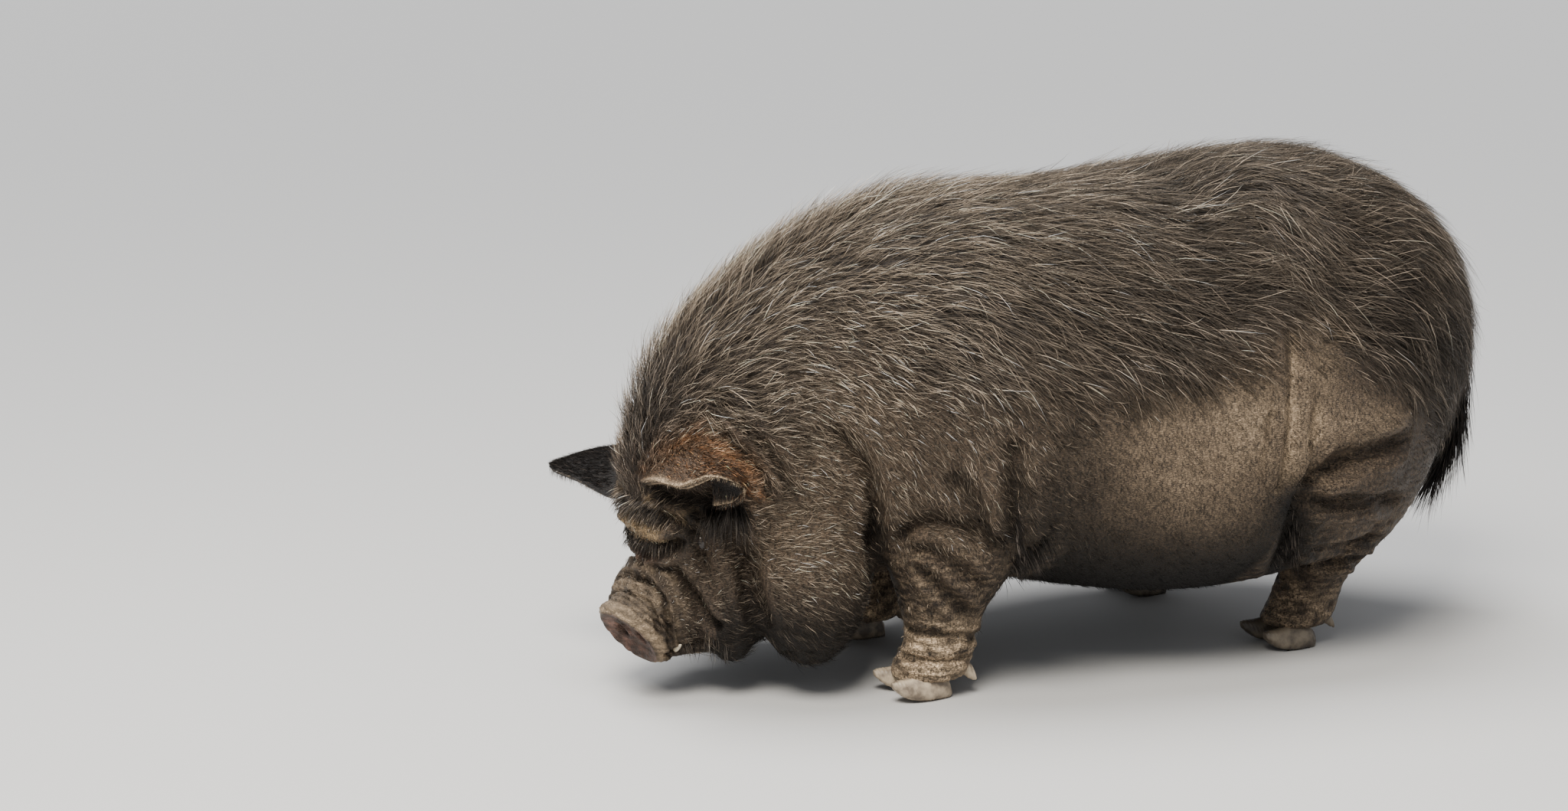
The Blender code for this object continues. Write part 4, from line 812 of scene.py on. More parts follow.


# Lines on the left side that tints, painted shade and hair follow, such as the arch of rusty hair over the
# ear
bodyLines = {
    "rustArch": ((-0.538, -0.010, 0.256), (-0.537, -0.026, 0.279), (-0.522, -0.055, 0.304),
                 (-0.505, -0.074, 0.319), (-0.489, -0.092, 0.321), (-0.470, -0.113, 0.302),
                 (-0.448, -0.126, 0.285), (-0.441, -0.129, 0.256)),
    "tanWisps": ((-0.536, -0.035, 0.243), (-0.524, -0.050, 0.236), (-0.507, -0.076, 0.231),
                 (-0.490, -0.090, 0.236)),
    "earHollow": ((-0.528, -0.050, 0.256), (-0.510, -0.076, 0.252), (-0.490, -0.096, 0.252),
                  (-0.468, -0.112, 0.256)),
    "earTop": ((-0.515, -0.060, 0.290), (-0.492, -0.086, 0.302), (-0.466, -0.112, 0.284)),
    "streakFront": ((0.213, -0.262, 0.425), (0.208, -0.272, 0.390), (0.203, -0.283, 0.345),
                    (0.196, -0.291, 0.290), (0.182, -0.291, 0.240)),
    "streakRear": ((0.236, -0.270, 0.410), (0.238, -0.280, 0.360), (0.231, -0.288, 0.310),
                   (0.224, -0.289, 0.275)),
    "armpit": ((-0.284, -0.168, 0.215), (-0.268, -0.155, 0.170), (-0.258, -0.145, 0.100)),
    "elbowHollow": ((-0.128, -0.245, 0.270), (-0.112, -0.236, 0.215), (-0.105, -0.200, 0.150)),
    "groinHollow": ((0.196, -0.294, 0.225), (0.226, -0.262, 0.172), (0.245, -0.190, 0.110)),
    "temple": ((-0.470, -0.110, 0.262), (-0.484, -0.098, 0.244), (-0.502, -0.080, 0.225),
               (-0.508, -0.071, 0.195)),
}


def nearLine(points, name, spread):
    shade = np.zeros(len(points))
    for side in (1, -1):
        line = splineRows(np.array(bodyLines[name]) * (1, side, 1), 3)
        near = (points > line.min(0) - 3 * spread).all(1) & (points < line.max(0) + 3 * spread).all(1)
        away = pathDistance(points[near], line)[0]
        shade[near] = np.maximum(shade[near], np.exp(-(away / spread) ** 2))
    return shade


coat = {
    "longCount": 48000,       # strands of four stations, on back, flanks, rump and neck
    "shortCount": 58000,      # strands of three stations, below the long coat
    "guideShare": 8,          # strands to a tuft
    "longWidth": 0.00046,     # half width of a strand at its root
    "shortWidth": 0.00037,
    "clump": 0.20,            # by which strands lean towards their tuft's middle
    "stray": 0.23,            # by which tips wander, over the strand's length
    "rootDepth": 0.0012,      # of the roots under the skin
    "shortest": 0.0105,       # lengths of hair
    "foreLonger": 0.0075,
    "longCoat": 0.060,
    "frontShorter": 0.045,
    "spineLonger": 0.012,
    "neckLonger": 0.003,
    "layer": (0.0030, 0.0085),               # height of the coat over the skin, and its spread
    "lift": (math.radians(16), math.radians(22)),
    "crestLayer": 0.018,
    "crestLift": math.radians(32),
    "boxMargin": 0.0006,
    "paleGain": 3.4,          # pale strands, partly paler hairs and partly painted glints, are brighter and thinner than the others round them
    "darkGain": 0.74,
    "paleWidth": 0.72,
}


def faceShare(points):
    # 1 on the face before the ears, where the hair is short and thick
    return smoothStep(-points[:, 0], 0.455, 0.50) * (1 - smoothStep(points[:, 2], 0.20, 0.27))


def hairLength(points):
    # Length of the hair by place.
    longCoat = softCoat(points)
    spine = hump(points[:, 1], 0, 0.10)
    front = smoothStep(-points[:, 0], -0.04, 0.36)
    spineLonger = coat["spineLonger"] * (1 + front) * spine
    length = coat["shortest"] + coat["foreLonger"] * smoothStep(-points[:, 0], -0.02, 0.20)
    length = length + longCoat * (coat["longCoat"] - coat["frontShorter"] * front + spineLonger)
    length = length + coat["neckLonger"] * smoothStep(-points[:, 0], 0.28, 0.36) * (1 - longCoat)
    length = length * (1 - 0.62 * faceShare(points)) * (1 - 0.55 * legShare(points))
    dome = nearLine(points, "earTop", 0.040)
    return length * (1 - dome) + 0.013 * dome + 0.006 * nearLine(points, "tanWisps", 0.010)


def hairDensity(points):
    # How thick the hair stands by place, from 0 to 1.
    longCoat = softCoat(points)
    front = 0.30 + 0.70 * smoothStep(-points[:, 0], -0.02, 0.20)     # neck, cheeks and shoulder
    under = 1 - smoothStep(points[:, 2], 0.08, 0.20)
    density = longCoat + (1 - longCoat) * (front * (1 - 0.40 * under))
    density = density * (1 + 0.9 * faceShare(points)) * (1 - 0.75 * legShare(points))
    density = density * (1 - 0.6 * nearLine(points, "earHollow", 0.012))
    density = density * (1 + 1.2 * nearLine(points, "earTop", 0.05))
    density = density * (1 - smoothStep(snoutPlaces(points)[0], -0.045, -0.022))
    for side in (1, -1):
        fromEye = np.linalg.norm(points - np.array(pig["eyePlace"]) * (1, side, 1), axis=1)
        density = density * smoothStep(fromEye, 0.012, 0.018)
    return density * smoothStep(points[:, 2], 0.028, 0.050)


def sampleRoots(mesh, count, weightOf):
    # Random places on a mesh, thick where weightOf is high, with their smooth normals.
    mesh.calc_loop_triangles()
    corners = np.empty(len(mesh.loop_triangles) * 3, int)
    mesh.loop_triangles.foreach_get("vertices", corners)
    corners = corners.reshape(-1, 3)
    flat = np.empty(len(mesh.vertices) * 3)
    mesh.vertices.foreach_get("co", flat)
    points = flat.reshape(-1, 3).copy()
    mesh.vertices.foreach_get("normal", flat)
    normals = flat.reshape(-1, 3)
    a, b, c = (points[corners[:, i]] for i in range(3))
    area = np.linalg.norm(np.cross(b - a, c - a), axis=1)
    weight = area * weightOf((a + b + c) / 3)
    chosen = rng.choice(len(corners), count, p=weight / weight.sum())
    u, v = rng.random(count), rng.random(count)
    over = u + v > 1
    u, v = np.where(over, 1 - u, u), np.where(over, 1 - v, v)
    place = (a[chosen] * (1 - u - v)[:, None] + b[chosen] * u[:, None] + c[chosen] * v[:, None])
    normal = normals[corners[chosen]].mean(1)
    return place, normalized(normal)


def strandSides(stations, ups):
    # The way across each strand at each of its stations
    flow = np.diff(stations, axis=1)
    flow = np.concatenate((flow, flow[:, -1:]), axis=1)
    sides = np.cross(ups, flow)
    return sides / np.maximum(np.linalg.norm(sides, axis=2, keepdims=True), 1e-9)


def growStrands(mesh, tree, count, steps, weightOf, halfWidth):
    # Strands in tufts: guides march over the hide along the lie, and the strands round each follow it.
    roots, normals = sampleRoots(mesh, count, weightOf)
    guides = max(10, count // coat["guideShare"])
    length = hairLength(roots) * rng.uniform(0.70, 1.15, count)
    lie = hairLie(roots[:guides], normals[:guides])
    x, y, z = roots[:guides].T
    crest = hump(y, 0, 0.045) * smoothStep(-x, 0.05, 0.30) * smoothStep(z, 0.33, 0.42)
    crown = hump(y, 0, 0.070) * smoothStep(-x, 0.44, 0.49) * smoothStep(z, 0.235, 0.275)
    crest = np.maximum(crest, crown)      # where the bristles stand up
    layer = coat["layer"][0] + coat["layer"][1] * rng.random(guides)
    layer = layer * (0.40 + 0.60 * softCoat(roots[:guides])) + coat["crestLayer"] * crest
    lift = coat["lift"][0] + coat["lift"][1] * rng.random(guides) + coat["crestLift"] * crest
    shares = np.linspace(0, 1, steps + 1) ** 0.9
    path = np.empty((guides, steps + 1, 3))
    ups = np.empty((guides, steps + 1, 3))
    for i in range(guides):
        place, normal = Vector(roots[i]), Vector(normals[i])
        way = Vector(lie[i])
        path[i, 0] = place - normal * coat["rootDepth"]
        ups[i, 0] = normal
        for k in range(1, steps + 1):
            stride = length[i] * (shares[k] - shares[k - 1]) * math.cos(lift[i] * 0.6)
            place, normal = tree.find_nearest(place + way * stride)[:2]
            height = layer[i] * math.tanh(length[i] * shares[k] * math.sin(lift[i]) / layer[i])
            path[i, k] = place + normal * height
            ups[i, k] = normal
            way = (way - normal * way.dot(normal)).normalized()
            way = (way + Vector((0, 0, -0.10))).normalized()
    finder = KDTree(guides)
    for i in range(guides):
        finder.insert(roots[i], i)
    finder.balance()
    owner = np.array([finder.find(root)[1] for root in roots])
    scale = (length / np.maximum(length[owner], 1e-6))[:, None, None]
    shift = (path[owner, 0] - roots)[:, None, :]
    along = shares[None, :, None]
    stray = rng.normal(size=(count, 1, 3)) * (coat["stray"] * length)[:, None, None] * along ** 1.5
    stray = stray - ups[owner] * (stray * ups[owner]).sum(2, keepdims=True) * 0.65
    pull = coat["clump"] * along ** 1.2
    stations = (roots - normals * coat["rootDepth"])[:, None, :] + (path[owner] - path[owner][:, :1]) * scale
    stations = stations + shift * pull + stray
    sides = strandSides(stations, ups[owner])
    taper = (1 - shares) ** 0.7
    face = smoothStep(-roots[:, 0], 0.44, 0.49) * (1 - smoothStep(roots[:, 2], 0.22, 0.30))
    width = (halfWidth * rng.uniform(0.70, 1.25, count) * (1 - 0.30 * face))[:, None] * taper[None, :]
    return {"stations": stations, "sides": sides, "ups": ups[owner], "width": width, "roots": roots,
            "owner": owner, "tuft": roots[owner], "length": length, "shares": shares}


bodyHolder = bpy.data.objects.new("bodyOnly", bodyOnly)
bpy.context.scene.collection.objects.link(bodyHolder)
bodyTree = BVHTree.FromObject(bodyHolder, bpy.context.evaluated_depsgraph_get())
bpy.data.objects.remove(bodyHolder)

longHair = growStrands(bodyOnly, bodyTree, coat["longCount"], 3,
                       lambda p: hairDensity(p) * smoothStep(softCoat(p), 0.02, 0.45), coat["longWidth"])
print("long hair grown")
shortHair = growStrands(bodyOnly, bodyTree, coat["shortCount"], 2,
                        lambda p: hairDensity(p) * (1 - 0.90 * smoothStep(softCoat(p), 0.10, 0.60)),
                        coat["shortWidth"])
print("short hair grown")


tints = {                    # base colours, all as linear values
    "darkHair": (0.036, 0.030, 0.025),
    "paleHair": (0.440, 0.345, 0.245),
    "darkHide": (0.014, 0.0105, 0.0085),
    "brownHide": (0.066, 0.046, 0.030),
    "dust": (0.440, 0.325, 0.210),
    "rust": (0.260, 0.115, 0.045),
    "tan": (0.400, 0.275, 0.145),
    "rosy": (0.300, 0.160, 0.120),
    "black": (0.010, 0.008, 0.007),
}


def paintedShadeFactor(points):
    # Painted shade: 1 on open skin, less down in the folds, in the hollows and under the belly
    x, z = points[:, 0], points[:, 2]
    share = (1 - 0.80 * foldShade(points)) * (1 - 0.80 * nearLine(points, "earHollow", 0.016))
    for name, spread, loss in (("armpit", 0.030, 0.85), ("elbowHollow", 0.034, 0.80),
                               ("groinHollow", 0.041, 0.94), ("temple", 0.018, 0.75)):
        share = share * (1 - loss * nearLine(points, name, spread))
    shaded = hump(x, -0.075, 0.062) * hump(z, 0.275, 0.110)      # behind the elbow
    bellyTop = 0.30 - 0.055 * smoothStep(x, -0.02, 0.10)
    belly = (1 - smoothStep(z, 0.13, bellyTop)) * (1 - legShare(points)) * (x > -0.17) * (x < 0.26)
    jowlLow = (1 - smoothStep(z, 0.08, 0.17)) * (x > -0.47) * (x < -0.27)
    for place, loss in ((shaded, 0.48), (belly, 0.90), (jowlLow, 0.75)):
        share = share * (1 - loss * place)
    return share


# Dusty patches, the one on top of the ham also a painted highlight: middle and spread along, middle and
# spread up, strength, unevenness, its size and seed
dustAndHighlightPatches = (
    (0.130, 0.120, 0.315, 0.085, 0.36, 0.35, 0.05, 52),      # flank
    (0.020, 0.170, 0.250, 0.090, 0.13, 0.40, 0.03, 61),      # belly's side
    (0.248, 0.026, 0.400, 0.045, 0.30, 0.40, 0.03, 63),      # over the stifle
    (0.320, 0.060, 0.315, 0.025, 0.34, 0.50, 0.02, 58),      # top of the ham, dusty and a painted highlight
)


def coloursAndPaintedLight(points, hair):
    # The pig's colours by place: dark back, paler neck and cheeks, rust over the ears, dusty feet and flanks,
    # with painted shade in folds, hollows and low down and a painted highlight on top of the back
    colour = np.tile(tints["darkHair" if hair else "darkHide"], (len(points), 1))

    def mix(name, share):
        nonlocal colour
        colour = colour + (np.array(tints[name]) - colour) * np.clip(share, 0, 1)[:, None]

    def uneven(part, size, seed):
        return 1 - part + part * ripple(points, size, seed)

    x, y, z = points.T
    front = smoothStep(-x, 0.00, 0.26) * (1 - smoothStep(z, 0.44, 0.56))
    patchy = 0.5 + 0.5 * ripple(points, 0.16, 51)
    low = 1 - softCoat(points)
    under = 1 - smoothStep(z, 0.10, 0.20)
    fore = smoothStep(-x, -0.12, 0.22)
    muzzle = smoothStep(-x, 0.485, 0.515) * (1 - smoothStep(z, 0.15, 0.18))
    if hair:
        # Paler hair on top of the back is a painted highlight; less pale hair low down is painted shade
        backTopSheen = smoothStep(z, 0.40, 0.54)
        rear = smoothStep(x, 0.28, 0.52)
        mix("paleHair", 0.07 + 0.06 * backTopSheen + 0.09 * fore + 0.08 * front * patchy + 0.03 * low - 0.10 * under
            - 0.05 * rear)
    else:
        # less brown low down, as painted shade
        mix("brownHide", 0.30 * front * patchy + 0.70 * low * (1 - 0.75 * under) * (1 - 0.45 * muzzle))
    for i, (alongAt, alongBy, upAt, upBy, strength, part, size, seed) in enumerate(dustAndHighlightPatches):
        patch = hump(x, alongAt, alongBy) * hump(z, upAt, upBy) * (low if i < 2 else 1)
        mix("dust", strength * patch * uneven(part, size, seed))
    streaks = 0.60 * nearLine(points, "streakFront", 0.0042) + 0.48 * nearLine(points, "streakRear", 0.0042)
    mix("dust", streaks)
    mix("dust", 0.16 * legShare(points) * uneven(0.6, 0.02, 57))
    feet = (1 - smoothStep(z, 0.05, 0.13)) * (np.abs(y) > 0.05) * (x > -0.30) * np.where(x < 0, 1.0, 0.35)
    mix("dust", 0.80 * feet * uneven(0.5, 0.03, 53))
    mix("rust", 0.55 * nearLine(points, "rustArch", 0.0085) * uneven(0.45, 0.02, 54))
    mix("rust", 0.22 * nearLine(points, "earTop", 0.030))
    crown = smoothStep(-x, 0.47, 0.50) * smoothStep(z, 0.214, 0.228) * (1 - smoothStep(z, 0.36, 0.42))
    mix("darkHair" if hair else "darkHide", 0.80 * crown * hump(y, 0, 0.065))
    mix("tan", 0.45 * nearLine(points, "tanWisps", 0.008) * uneven(0.5, 0.02, 59))
    brow = hump(z, 0.203, 0.0085) * smoothStep(-x, 0.502, 0.514) * (1 - smoothStep(np.abs(y), 0.040, 0.066))
    mix("tan", 0.80 * brow * uneven(0.2, 0.012, 60))
    mix("dust", (0.08 if hair else 0.15) * muzzle * uneven(0.5, 0.016, 55))
    snoutTop = smoothStep(-x, 0.530, 0.545) * smoothStep(z, 0.085, 0.115) * (z < 0.16)
    mix("dust", 0.12 * snoutTop)
    nose = smoothStep(-x, 0.512, 0.520) * hump(z, 0.172, 0.006) * hump(y, 0, 0.02)
    mix("rosy", 0.6 * nose)
    # painted shade in the folds, the hollows and under the belly
    return colour * paintedShadeFactor(points)[:, None]


def meshFromArrays(name, points, triangles):
    mesh = bpy.data.meshes.new(name)
    mesh.vertices.add(len(points))
    mesh.vertices.foreach_set("co", np.ascontiguousarray(points, np.float32).ravel())
    mesh.loops.add(3 * len(triangles))
    mesh.loops.foreach_set("vertex_index", np.ascontiguousarray(triangles, np.int32).ravel())
    mesh.polygons.add(len(triangles))
    mesh.polygons.foreach_set("loop_start", np.arange(0, 3 * len(triangles), 3, dtype=np.int32))
    mesh.update(calc_edges=True)
    mesh.polygons.foreach_set("use_smooth", np.ones(len(triangles), bool))
    made = bpy.data.objects.new(name, mesh)
    bpy.context.scene.collection.objects.link(made)
    return made


def bodyUnwrap(points):
    # A place on the hide's own unwrap, 0 to 1 each way: along the trunk, and round it.
    section = nearestFrames(points)
    middles, ups = frameMiddles[section], frameUps[section]
    fromMiddle = points - middles
    turn = np.arctan2(fromMiddle[:, 1], (fromMiddle * ups).sum(1)) / (2 * math.pi) + 0.5
    along = (section + 0.5 + 0 * turn) / len(frameMiddles)
    smooth = np.clip(((fromMiddle * frameBacks[section]).sum(1)) / 0.03, -0.5, 0.5) / len(frameMiddles)
    return np.stack((along + smooth, turn), 1)


def coatPiece(name, grown, chosen, colours):
    # One joined mesh of the chosen strands, closed, with colours and a small bake patch for each tuft.
    stations, sides, ups = grown["stations"][chosen], grown["sides"][chosen], grown["ups"][chosen]
    width, shares = grown["width"][chosen], grown["shares"]
    count, rows = stations.shape[0], stations.shape[1]
    wide = width[:, :-1, None]
    base = stations[:, :-1]
    ring = np.stack((base - sides[:, :-1] * wide, base + ups[:, :-1] * wide * 0.9,
                     base + sides[:, :-1] * wide), 2)
    points = np.concatenate((ring.reshape(count, -1, 3), stations[:, -1:]), 1)
    each = points.shape[1]
    faces = [(0, 1, 2)]
    for row in range(rows - 2):
        for j in range(3):
            a, b = 3 * row + j, 3 * row + (j + 1) % 3
            faces += [(a, a + 3, b), (b, a + 3, b + 3)]
    last = 3 * (rows - 2)
    faces += [(last + j, each - 1, last + (j + 1) % 3) for j in range(3)]
    faces = np.array(faces)
    triangles = (faces[None] + (np.arange(count) * each)[:, None, None]).reshape(-1, 3)
    made = meshFromArrays(name, points.reshape(-1, 3), triangles)
    tip = np.concatenate((np.repeat(shares[:-1], 3), shares[-1:]))
    # Each strand darkens towards its root, as painted shade deep in the coat, and pales towards its tip
    tint = np.minimum(colours[chosen][:, None, :] * (0.16 + 1.50 * tip[None, :, None]), 0.80)
    rgba = np.concatenate((tint, np.ones((count, each, 1))), 2)
    attribute = made.data.attributes.new("hairTint", "FLOAT_COLOR", "POINT")
    attribute.data.foreach_set("color", rgba.astype(np.float32).ravel())
    centre = grown["places"][chosen] if "places" in grown else bodyUnwrap(grown["tuft"][chosen])
    span = np.array((-1.0, 0.0, 1.0) * (rows - 1) + (0.0,))
    patch = np.stack((np.tile(span * 0.0014, (count, 1)), np.tile((tip - 0.5) * 0.0028, (count, 1))), 2)
    uv = (0.01 + 0.98 * centre)[:, None, :] + patch
    layer = made.data.uv_layers.new(name="OFBake")
    layer.data.foreach_set("uv", uv.reshape(-1, 2)[triangles.ravel()].astype(np.float32).ravel())
    return made


def groupSocket(group, name, kind, way, value=None):
    socket = group.interface.new_socket(name=name, in_out=way, socket_type=kind)
    if value is not None:
        socket.default_value = value


def addNode(tree, kind, values=(), **settings):
    # A new node with its settings and (input, value) pairs; a value that is a socket is linked instead
    made = tree.nodes.new(kind)
    for key, value in settings.items():
        setattr(made, key, value)
    for key, value in values:
        if isinstance(value, bpy.types.NodeSocket):
            tree.links.new(value, made.inputs[key])
        else:
            made.inputs[key].default_value = value
    return made


skinGrain = {
    "cells": (380, (0.50, 0.50, 1.3)),       # scale and stretch
    "fineCells": (620, (0.7, 0.7, 1.2)),
    "noise": (400, (1, 1, 0.38)),
    "fineShare": 0.5,
    "noiseShare": 1.5,
    "height": (0.66, 1.24),                  # of the sum, from the darkest to the palest
    "shade": (0.20, 1.85),
}


def pebbleGroup():
    # Fine crosshatched hide: a height from two sizes of cells and a little noise.
    group = bpy.data.node_groups.new("hideGrain", "ShaderNodeTree")
    groupSocket(group, "Scale", "NodeSocketFloat", "INPUT", 1.0)
    groupSocket(group, "Height", "NodeSocketFloat", "OUTPUT")
    groupSocket(group, "Mask", "NodeSocketFloat", "OUTPUT")
    inside, outside = group.nodes.new("NodeGroupInput"), group.nodes.new("NodeGroupOutput")
    place = addNode(group, "ShaderNodeTexCoord").outputs["Object"]
    sized = addNode(group, "ShaderNodeVectorMath", ((0, place), ("Scale", inside.outputs["Scale"])),
                    operation="SCALE")

    def stretched(name):
        longer = addNode(group, "ShaderNodeVectorMath", ((0, sized.outputs[0]), (1, skinGrain[name][1])),
                         operation="MULTIPLY")
        return ("Vector", longer.outputs[0]), ("Scale", skinGrain[name][0])

    cells = addNode(group, "ShaderNodeTexVoronoi", stretched("cells"), feature="DISTANCE_TO_EDGE")
    small = addNode(group, "ShaderNodeTexVoronoi", stretched("fineCells"), feature="DISTANCE_TO_EDGE")
    noise = addNode(group, "ShaderNodeTexNoise", (*stretched("noise"), ("Detail", 4), ("Roughness", 0.72)))
    first = addNode(group, "ShaderNodeMath", ((0, small.outputs["Distance"]), (1, skinGrain["fineShare"]),
                                              (2, cells.outputs["Distance"])), operation="MULTIPLY_ADD")
    second = addNode(group, "ShaderNodeMath", ((0, noise.outputs["Fac"]), (1, skinGrain["noiseShare"]),
                                               (2, first.outputs[0])), operation="MULTIPLY_ADD")
    group.links.new(second.outputs[0], outside.inputs["Height"])
    (lowest, highest), (darkest, palest) = skinGrain["height"], skinGrain["shade"]
    ridge = addNode(group, "ShaderNodeMapRange", (("Value", second.outputs[0]), ("From Min", lowest),
                                                  ("From Max", highest), ("To Min", darkest),
                                                  ("To Max", palest)))
    group.links.new(ridge.outputs["Result"], outside.inputs["Mask"])
    return group


def wrinkleGroup():
    # Level, wandering wrinkles as on the legs: a height, and a mask with painted shade down in them and
    # paler, dusty ridges
    group = bpy.data.node_groups.new("hideWrinkles", "ShaderNodeTree")
    groupSocket(group, "Amount", "NodeSocketFloat", "INPUT", 0.0)
    groupSocket(group, "Height", "NodeSocketFloat", "OUTPUT")
    groupSocket(group, "Mask", "NodeSocketFloat", "OUTPUT")
    inside, outside = group.nodes.new("NodeGroupInput"), group.nodes.new("NodeGroupOutput")
    place = addNode(group, "ShaderNodeTexCoord").outputs["Object"]
    wave = addNode(group, "ShaderNodeTexWave", (("Scale", 33), ("Distortion", 8.5), ("Detail", 4),
                                                ("Detail Scale", 1.9), ("Detail Roughness", 0.68),
                                                ("Vector", place)), bands_direction="Z")
    height = addNode(group, "ShaderNodeMath", ((0, wave.outputs["Fac"]), (1, inside.outputs["Amount"])),
                     operation="MULTIPLY")
    group.links.new(height.outputs[0], outside.inputs["Height"])
    spread = addNode(group, "ShaderNodeMapRange", (("From Min", 0.05), ("From Max", 0.9), ("To Min", -0.55),
                                                   ("To Max", 0.50), ("Value", wave.outputs["Fac"])))
    mask = addNode(group, "ShaderNodeMath", ((0, spread.outputs["Result"]), (1, inside.outputs["Amount"]),
                                             (2, 1.0)), operation="MULTIPLY_ADD")
    group.links.new(mask.outputs[0], outside.inputs["Mask"])
    return group


hideGrain, hideWrinkles = pebbleGroup(), wrinkleGroup()


finish = {
    "skinGloss": 0.20,        # specular levels, each set on its own shader
    "bristleGloss": 0.15,
    # the far ear's hair is a shaded copy with less gloss, as painted shade
    "dullGloss": 0.04,
    "skinRoughness": (0.40, 0.66),
    "bristleRoughness": 0.38,
    "bumpStrength": 0.85,
    "bumpHeight": 0.0018,
    "wrinkleShare": 1.4,      # of the wrinkles' height over the grain's
}


def hideMaterial():
    made = bpy.data.materials.new("pigHide")
    made.use_nodes = True
    tree = made.node_tree
    shader = tree.nodes["Principled BSDF"]
    tint = addNode(tree, "ShaderNodeAttribute", attribute_name="hideTint")
    grained = addNode(tree, "ShaderNodeAttribute", attribute_name="grained")
    wrinkled = addNode(tree, "ShaderNodeAttribute", attribute_name="wrinkled")
    grain = addNode(tree, "ShaderNodeGroup", node_tree=hideGrain)
    wrinkles = addNode(tree, "ShaderNodeGroup", node_tree=hideWrinkles)
    tree.links.new(wrinkled.outputs["Fac"], wrinkles.inputs["Amount"])
    calmer = addNode(tree, "ShaderNodeMix", (("A", 1.0), ("Factor", grained.outputs["Fac"]),
                                             ("B", grain.outputs["Mask"])))      # even on the snout
    both = addNode(tree, "ShaderNodeMath", ((0, calmer.outputs["Result"]), (1, wrinkles.outputs["Mask"])),
                   operation="MULTIPLY")
    shade = addNode(tree, "ShaderNodeVectorMath", ((0, tint.outputs["Color"]), ("Scale", both.outputs[0])),
                    operation="SCALE")
    tree.links.new(shade.outputs[0], shader.inputs["Base Color"])
    smoothest, roughest = finish["skinRoughness"]
    rough = addNode(tree, "ShaderNodeMapRange", (("From Min", 0.4), ("From Max", 1.6), ("To Min", smoothest),
                                                 ("To Max", roughest), ("Value", grain.outputs["Mask"])))
    tree.links.new(rough.outputs["Result"], shader.inputs["Roughness"])
    shader.inputs["Specular IOR Level"].default_value = finish["skinGloss"]
    total = addNode(tree, "ShaderNodeMath", ((0, wrinkles.outputs["Height"]), (1, finish["wrinkleShare"]),
                                             (2, grain.outputs["Height"])), operation="MULTIPLY_ADD")
    bump = addNode(tree, "ShaderNodeBump", (("Strength", finish["bumpStrength"]),
                                            ("Distance", finish["bumpHeight"]), ("Height", total.outputs[0])))
    tree.links.new(bump.outputs["Normal"], shader.inputs["Normal"])
    return made


def bristleMaterial(name, gloss):
    made = bpy.data.materials.new(name)
    made.use_nodes = True
    shader = made.node_tree.nodes["Principled BSDF"]
    tint = addNode(made.node_tree, "ShaderNodeAttribute", attribute_name="hairTint")
    made.node_tree.links.new(tint.outputs["Color"], shader.inputs["Base Color"])
    shader.inputs["Roughness"].default_value = finish["bristleRoughness"]
    shader.inputs["Specular IOR Level"].default_value = gloss
    return made


def plainMaterial(name, colour, roughness):
    made = bpy.data.materials.new(name)
    made.use_nodes = True
    shader = made.node_tree.nodes["Principled BSDF"]
    shader.inputs["Base Color"].default_value = (*colour, 1)
    shader.inputs["Roughness"].default_value = roughness
    return made


hideLook = hideMaterial()
bristleLook = bristleMaterial("pigBristle", finish["bristleGloss"])
shadedBristleLook = bristleMaterial("pigBristleDull", finish["dullGloss"])


